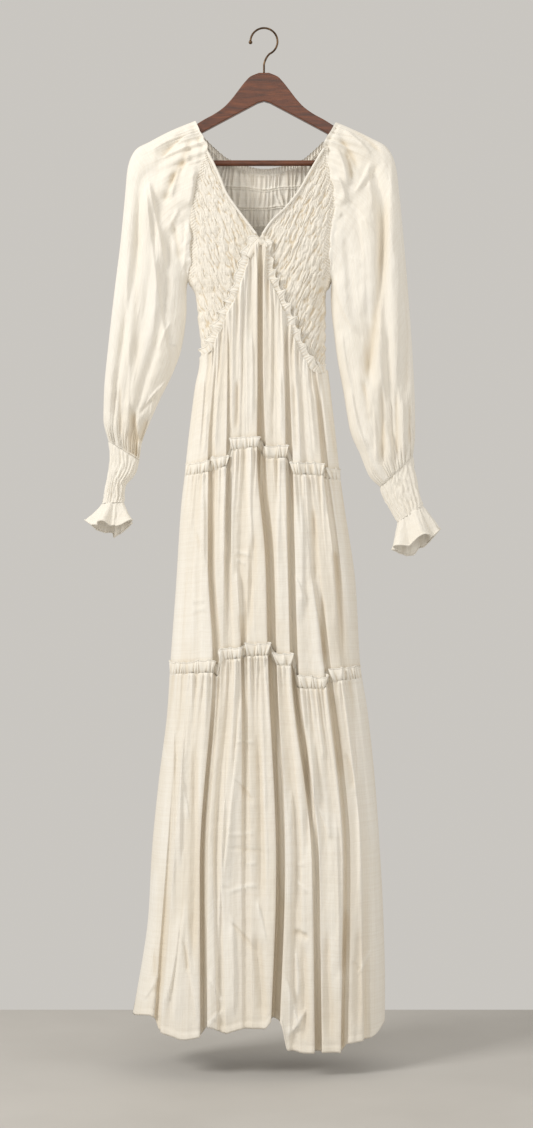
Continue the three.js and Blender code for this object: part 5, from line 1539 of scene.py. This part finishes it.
def rippling_tube(sections, rows, around, form, seed):
    """Cuff or flounce: a tube with puckers, or with waves that grow towards its edge"""
    last = sections["step"][-1]
    step = np.linspace(0, last, rows)[:, None]
    turn = (np.arange(around) / around)[None]
    across = (1 - np.cos(2 * math.pi * turn)) / 2
    shape = section_at(sections, step)
    points = section_point(shape, across + 0 * step, turn < 0.5)
    centre = section_point(shape, 0.5 + 0 * step, True)
    centre[..., 1] = 0
    away = points - centre
    away = away / (np.linalg.norm(away, axis=-1, keepdims=True) + 1e-6)
    down = step / last
    angle = 2 * math.pi * turn
    phase = form["waves"] * angle + 1.2 * noise(3 * np.cos(angle) + 9, 3 * np.sin(angle) + 9, seed)
    wave = np.cos(phase) * (1 + 0.4 * noise(2 * np.cos(angle) + 5, 2 * np.sin(angle) + 5, seed + 1))
    size = blend(form["first"], form["last"], down**1.2)
    ring_x = 20 * np.cos(angle) + 60
    ring_y = 20 * np.sin(angle) + 60
    cells = noise(ring_x / 2.1 + 4 * down, ring_y / 2.1 + down * rows / 7, seed + 2)
    lens = np.sin(form["lenses"] * angle + 3.0 * noise(ring_x / 9, down * 5 + 0 * ring_x, seed + 3))
    relief = size * wave + form["pucker"] * (0.7 * lens + 0.8 * cells) * smooth(down / 0.04)
    points = points + away * relief[..., None]
    behind = (turn > 0.5) * np.sin(2 * math.pi * turn) ** 2
    points[..., 2] += form["edge"] * down * wave - form["drop"] * down**1.5 * behind
    back_up = points[0] - points[1]
    back_up = back_up / (np.linalg.norm(back_up, axis=-1, keepdims=True) + 1e-6)
    tucked = points[0] + SEAM_TUCK * back_up - 1.2 * away[0]
    return np.concatenate((tucked[None], points))


# Cuff and flounce: number and height of the waves, how far their edge runs up and down with them, the
# number and height of the puckers, and how much lower the back hangs
CUFF_FORM = {
    "waves": 11, "first": 0.5, "last": 0.5, "edge": 0.0, "lenses": 21, "pucker": 1.25, "drop": 0.0,
}
FLOUNCE_FORM = {
    "waves": 5, "first": 1.0, "last": 5.5, "edge": 4.0, "lenses": 15, "pucker": 0.5, "drop": 20.0,
}
CUFF_ROWS = 60
CUFF_AROUND = 170
FLOUNCE_ROWS = 26
FLOUNCE_AROUND = 220


def flounce_grids(sections, seed):
    points = rippling_tube(sections, FLOUNCE_ROWS, FLOUNCE_AROUND, FLOUNCE_FORM, seed)
    edge = np.concatenate((points[-1], points[-1][:2]), axis=0)
    return [tube_grid(points), rolled_rim(edge)]


# Hanger
def line_points(line, count):
    """Smooth points along one line of the board"""
    x = np.linspace(line["x"][0], line["x"][-1], count)
    return np.stack((x, along(line, "x", "z", x)), axis=1)


def arc_points(circle, turn):
    """Points of a circle at the angles given"""
    x = circle["x"] + circle["radius"] * np.cos(turn)
    z = circle["z"] + circle["radius"] * np.sin(turn)
    return np.stack((x, z), axis=1)


def hanger_outline():
    """The board's outline, once round, with a smooth top and an arc at each end"""
    arc = arc_points(BOARD_END, np.linspace(BOARD_END["start"], BOARD_END["end"], 24))
    right = np.concatenate((line_points(BOARD_TOP, 60), arc, line_points(BOARD_UNDER, 60)))
    middle = np.array([[0.0, BOARD_UNDER_MIDDLE]])
    left = right[::-1] * np.array([-1, 1])
    return np.concatenate((right, middle, left))


def hanger_board(material):
    """The board, with its edges rounded off"""
    outline = hanger_outline()
    curve = bpy.data.curves.new("hanger_board", "CURVE")
    curve.dimensions = "2D"
    curve.fill_mode = "BOTH"
    curve.extrude = (BOARD_THICKNESS / 2 - BOARD_BEVEL) * MM
    curve.bevel_depth = BOARD_BEVEL * MM
    curve.bevel_resolution = 3
    curve.offset = -BOARD_BEVEL * MM
    line = curve.splines.new("POLY")
    line.points.add(len(outline) - 1)
    for point, (x, z) in zip(line.points, outline):
        point.co = (x * MM, z * MM, 0, 1)
    line.use_cyclic_u = True
    shape = bpy.data.objects.new("hanger_board_curve", curve)
    bpy.context.collection.objects.link(shape)
    bpy.context.view_layer.update()
    mesh = bpy.data.meshes.new_from_object(shape)
    bpy.data.objects.remove(shape)
    places = np.empty(len(mesh.vertices) * 3)
    mesh.vertices.foreach_get("co", places)
    places = places.reshape(-1, 3)
    upright = np.stack((places[:, 0], -places[:, 2], places[:, 1]), axis=1)
    mesh.vertices.foreach_set("co", upright.reshape(-1))
    mesh.update()
    mesh.materials.clear()
    mesh.materials.append(material)
    board = bpy.data.objects.new("hanger_board", mesh)
    bpy.context.collection.objects.link(board)
    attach(board, "root")
    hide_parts("hanger_body")


# Places across the small ball at the wire's tip, in shares of its radius
BALL = np.array([-0.98, -0.9, -0.75, -0.5, -0.25, 0, 0.25, 0.5, 0.7])


def hook_path():
    """Middle line of the wire from its tip round the ring and down the stem, and the wire's radius"""
    ball_turn = HOOK["ball"] / HOOK["ring"]
    around = np.linspace(HOOK["start"] - ball_turn, HOOK["end"], 60)
    turn = np.concatenate((HOOK["start"] - BALL * ball_turn, around))
    x, z = arc_points({"x": 0.0, "z": HOOK["centre"], "radius": HOOK["ring"]}, turn).T
    ring = np.stack((x, 0 * x, z), axis=1)
    stem = np.array([(x, 0, z) for x, z in HOOK_STEM], float)
    control = np.concatenate((ring[-2:], stem))
    run = np.concatenate(([0], np.cumsum(np.linalg.norm(np.diff(control, axis=0), axis=1))))
    fine = np.linspace(run[1], run[-1], 24)[1:]
    lower = np.stack([along({"run": run, "v": control[:, k]}, "run", "v", fine) for k in range(3)], axis=1)
    path = np.concatenate((ring, lower))
    wire = np.full(len(path) - len(BALL), HOOK["wire"])
    radius = np.concatenate((HOOK["ball"] * np.sqrt(1 - BALL**2), wire))
    return path, radius


# The bar's rounded ends: places along it and radii, in shares of its half length and its radius
BAR_PLACES = np.array([-1.0, -0.999, -0.996, -0.99, -0.5, 0, 0.5, 0.99, 0.996, 0.999, 1.0])
BAR_ROUNDING = np.array([0.7, 0.86, 0.96, 1, 1, 1, 1, 1, 0.96, 0.86, 0.7])
BAR_SIDES = 24
HOOK_SIDES = 16


def hanger_pieces(wood_look, bronze_look):
    """The board, the bar below it and the wire hook"""
    hanger_board(wood_look)
    ends = BAR_PLACES * BAR["half"]
    path = np.stack((ends, 0 * ends, 0 * ends + BAR["z"]), axis=1)
    bar = new_object("hanger_rod", [cord_grid(path, BAR_ROUNDING * BAR["radius"], BAR_SIDES)], wood_look)
    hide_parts("hanger_bar")
    path, radius = hook_path()
    hook = new_object("hanger_wire_hook", [cord_grid(path, radius, HOOK_SIDES)], bronze_look)
    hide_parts("hanger_hook")


# The dress: edges of the tiers above and below a seam line, their rows and gathers, and the frills' seeds
SEAM_ABOVE = -FRILL_HEIGHT + SEAM_GAP / 2
SEAM_BELOW = -FRILL_HEIGHT - SEAM_GAP / 2
TIER_ROWS = {"front": (76, 120, 222), "back": (56, 84, 112)}
TIER_GATHERS = (30, 34, 42)
UPPER_FRILL_SEED = 91
LOWER_FRILL_SEED = 97


def skirt_pieces(side, half, look):
    """The three tiers and the two header frills of one side"""
    rows = TIER_ROWS[side]
    number = TIER_GATHERS
    upper = tier(half, half["waist"], 0, half["upper_top"], SEAM_ABOVE, rows[0], number[0],
                 WAIST_LAP, WAIST_SETTLE)
    middle = tier(half, half["upper_top"], SEAM_BELOW, half["lower_top"], SEAM_ABOVE, rows[1], number[1])
    lower = tier(half, half["lower_top"], SEAM_BELOW, half["hem"], 0, rows[2], number[2], hem=True)
    upper_frill = seam_frill(half, half["upper_top"], UPPER_FRILL_SEED + half["faces"])
    lower_frill = seam_frill(half, half["lower_top"], LOWER_FRILL_SEED + half["faces"])
    cloth_piece(f"cloth_upper_tier_{side}", [upper], look,
                [f"upper_tier_{side}"])
    cloth_piece(f"cloth_middle_tier_{side}", [middle], look,
                [f"middle_tier_{side}"])
    cloth_piece(f"cloth_lower_tier_{side}", [lower], look,
                [f"lower_tier_{side}"])
    cloth_piece(f"cloth_frill_upper_{side}", upper_frill, look,
                [f"seam_frill_upper_{side}"])
    cloth_piece(f"cloth_frill_lower_{side}", lower_frill, look,
                [f"seam_frill_lower_{side}"])


def arm_pieces(side, arm, plain, shirred_look, ruched):
    """Front of the bodice, binding, sleeve, cuff and flounce of one side"""
    cloth_piece(f"cloth_bodice_front_{side}", [bodice_front(arm)], shirred_look,
                [f"bodice_front_{side}"])
    cloth_piece(f"cloth_neck_binding_{side}", [neck_binding(arm)], plain,
                [f"neck_binding_{side}"])
    cloth_piece(f"cloth_sleeve_{side}", [sleeve(arm["sleeve"], arm)], plain,
                [f"sleeve_{side}"])
    cuff_points = rippling_tube(arm["cuff"], CUFF_ROWS, CUFF_AROUND, CUFF_FORM, arm["seed"] + 8)
    cloth_piece(f"cloth_cuff_{side}", [tube_grid(cuff_points)], ruched,
                [f"cuff_{side}"])
    cloth_piece(f"cloth_flounce_{side}", flounce_grids(arm["flounce"], arm["seed"] + 9), plain,
                [f"cuff_flounce_{side}"])


def dress_pieces():
    """Every piece of cloth, each over its own solid"""
    plain = gauze("gauze_plain")
    shirred_left = gauze("gauze_shirred_left", SHIRRED_BUMP, -SHIRRING_TURN)
    shirred_right = gauze("gauze_shirred_right", SHIRRED_BUMP, SHIRRING_TURN)
    ruched = gauze("gauze_ruched", RUCHED_BUMP)
    skirt_pieces("front", FRONT, plain)
    skirt_pieces("back", BACK, plain)
    cloth_piece("cloth_waist_frill_left", waist_frill(FRONT, -97, -7, 101) + apex_cap(), plain,
                ["waist_frill_left"])
    cloth_piece("cloth_waist_frill_right", waist_frill(FRONT, -5, 98, 103), plain,
                ["waist_frill_right"])
    cloth_piece("cloth_waist_frill_back", waist_frill(BACK, -97, 95, 105), plain,
                ["waist_frill_back"])
    cloth_piece("cloth_bodice_back", [bodice_back()], ruched,
                ["bodice_back"])
    cloth_piece("cloth_neck_casing", [neck_casing()], plain,
                ["neck_casing_back"])
    arm_pieces("left", LEFT_ARM, plain, shirred_left, ruched)
    arm_pieces("right", RIGHT_ARM, plain, shirred_right, ruched)


# Studio
FLOOR_COLOURS = [(0.3, (0.5, 0.48, 0.45)), (0.7, (0.56, 0.54, 0.51))]
SURROUND_COLOUR = (0.69, 0.665, 0.625, 1)
SURROUND_STRENGTH = 0.85

# Lights: place, what they point at, size, power and colour
LIGHTS = (
    ("key", (-2.8, -2.1, 1.3), (0.0, 0.0, -0.75), 1.3, 96, (1.0, 0.985, 0.955)),
    ("fill", (2.9, -2.1, 0.2), (0.0, 0.0, -0.9), 1.8, 20, (1.0, 0.985, 0.96)),
    ("front", (0.5, -3.6, 0.5), (0.0, 0.0, -0.6), 1.8, 13, (1.0, 0.985, 0.96)),
)


def studio():
    """Pale floor, surround and lights"""
    floor_mesh = bpy.data.meshes.new("floor")
    wide, near, far = FLOOR_REACH
    corners = [(-wide, -near, FLOOR_Z), (wide, -near, FLOOR_Z), (wide, far, FLOOR_Z), (-wide, far, FLOOR_Z)]
    floor_mesh.from_pydata(corners, [], [(0, 1, 2, 3)])
    floor = bpy.data.objects.new("floor", floor_mesh)
    bpy.context.collection.objects.link(floor)
    material, tree, shader = new_material("pale_floor", {"Roughness": 0.8})
    cloud = object_noise(tree, (3, 3, 3), (-700, 0), 6.0)
    colour = ramp(tree, cloud, FLOOR_COLOURS, (-400, 0))
    tree.links.new(colour, shader.inputs["Base Color"])
    floor_mesh.materials.append(material)
    world = bpy.data.worlds.new("studio")
    world.use_nodes = True
    background = world.node_tree.nodes["Background"]
    background.inputs["Color"].default_value = SURROUND_COLOUR
    background.inputs["Strength"].default_value = SURROUND_STRENGTH
    bpy.context.scene.world = world
    bpy.context.scene.view_settings.view_transform = "Standard"
    for light in LIGHTS:
        area_light(*light)


def area_light(name, place, target, size, power, colour):
    """Square light turned towards its target"""
    light = bpy.data.lights.new(name, "AREA")
    light.shape = "SQUARE"
    light.size = size
    light.energy = power
    light.color = colour
    lamp = bpy.data.objects.new(name, light)
    lamp.location = place
    aim = Vector(target) - Vector(place)
    lamp.rotation_euler = aim.to_track_quat("-Z", "Y").to_euler()
    bpy.context.collection.objects.link(lamp)


def camera():
    """The photograph's view: level, square to the dress"""
    data = bpy.data.cameras.new("camera")
    data.sensor_width = SENSOR
    data.lens = SENSOR * CAMERA_DISTANCE / FRAME_HEIGHT
    data.clip_end = 60
    eye = bpy.data.objects.new("camera", data)
    eye.location = (FRAME_CENTRE_X * MM, -CAMERA_DISTANCE * MM, FRAME_CENTRE_Z * MM)
    eye.rotation_euler = (math.pi / 2, 0, 0)
    bpy.context.collection.objects.link(eye)
    bpy.context.scene.camera = eye


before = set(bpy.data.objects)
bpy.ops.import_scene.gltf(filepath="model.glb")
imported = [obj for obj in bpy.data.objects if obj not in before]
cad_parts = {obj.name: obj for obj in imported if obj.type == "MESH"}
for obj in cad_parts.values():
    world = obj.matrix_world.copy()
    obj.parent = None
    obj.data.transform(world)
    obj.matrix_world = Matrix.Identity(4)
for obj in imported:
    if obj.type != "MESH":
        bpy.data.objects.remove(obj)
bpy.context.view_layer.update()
camera()
studio()
hanger_pieces(wood("cherry_wood"), bronze("dark_bronze"))
dress_pieces()
bpy.context.view_layer.update()
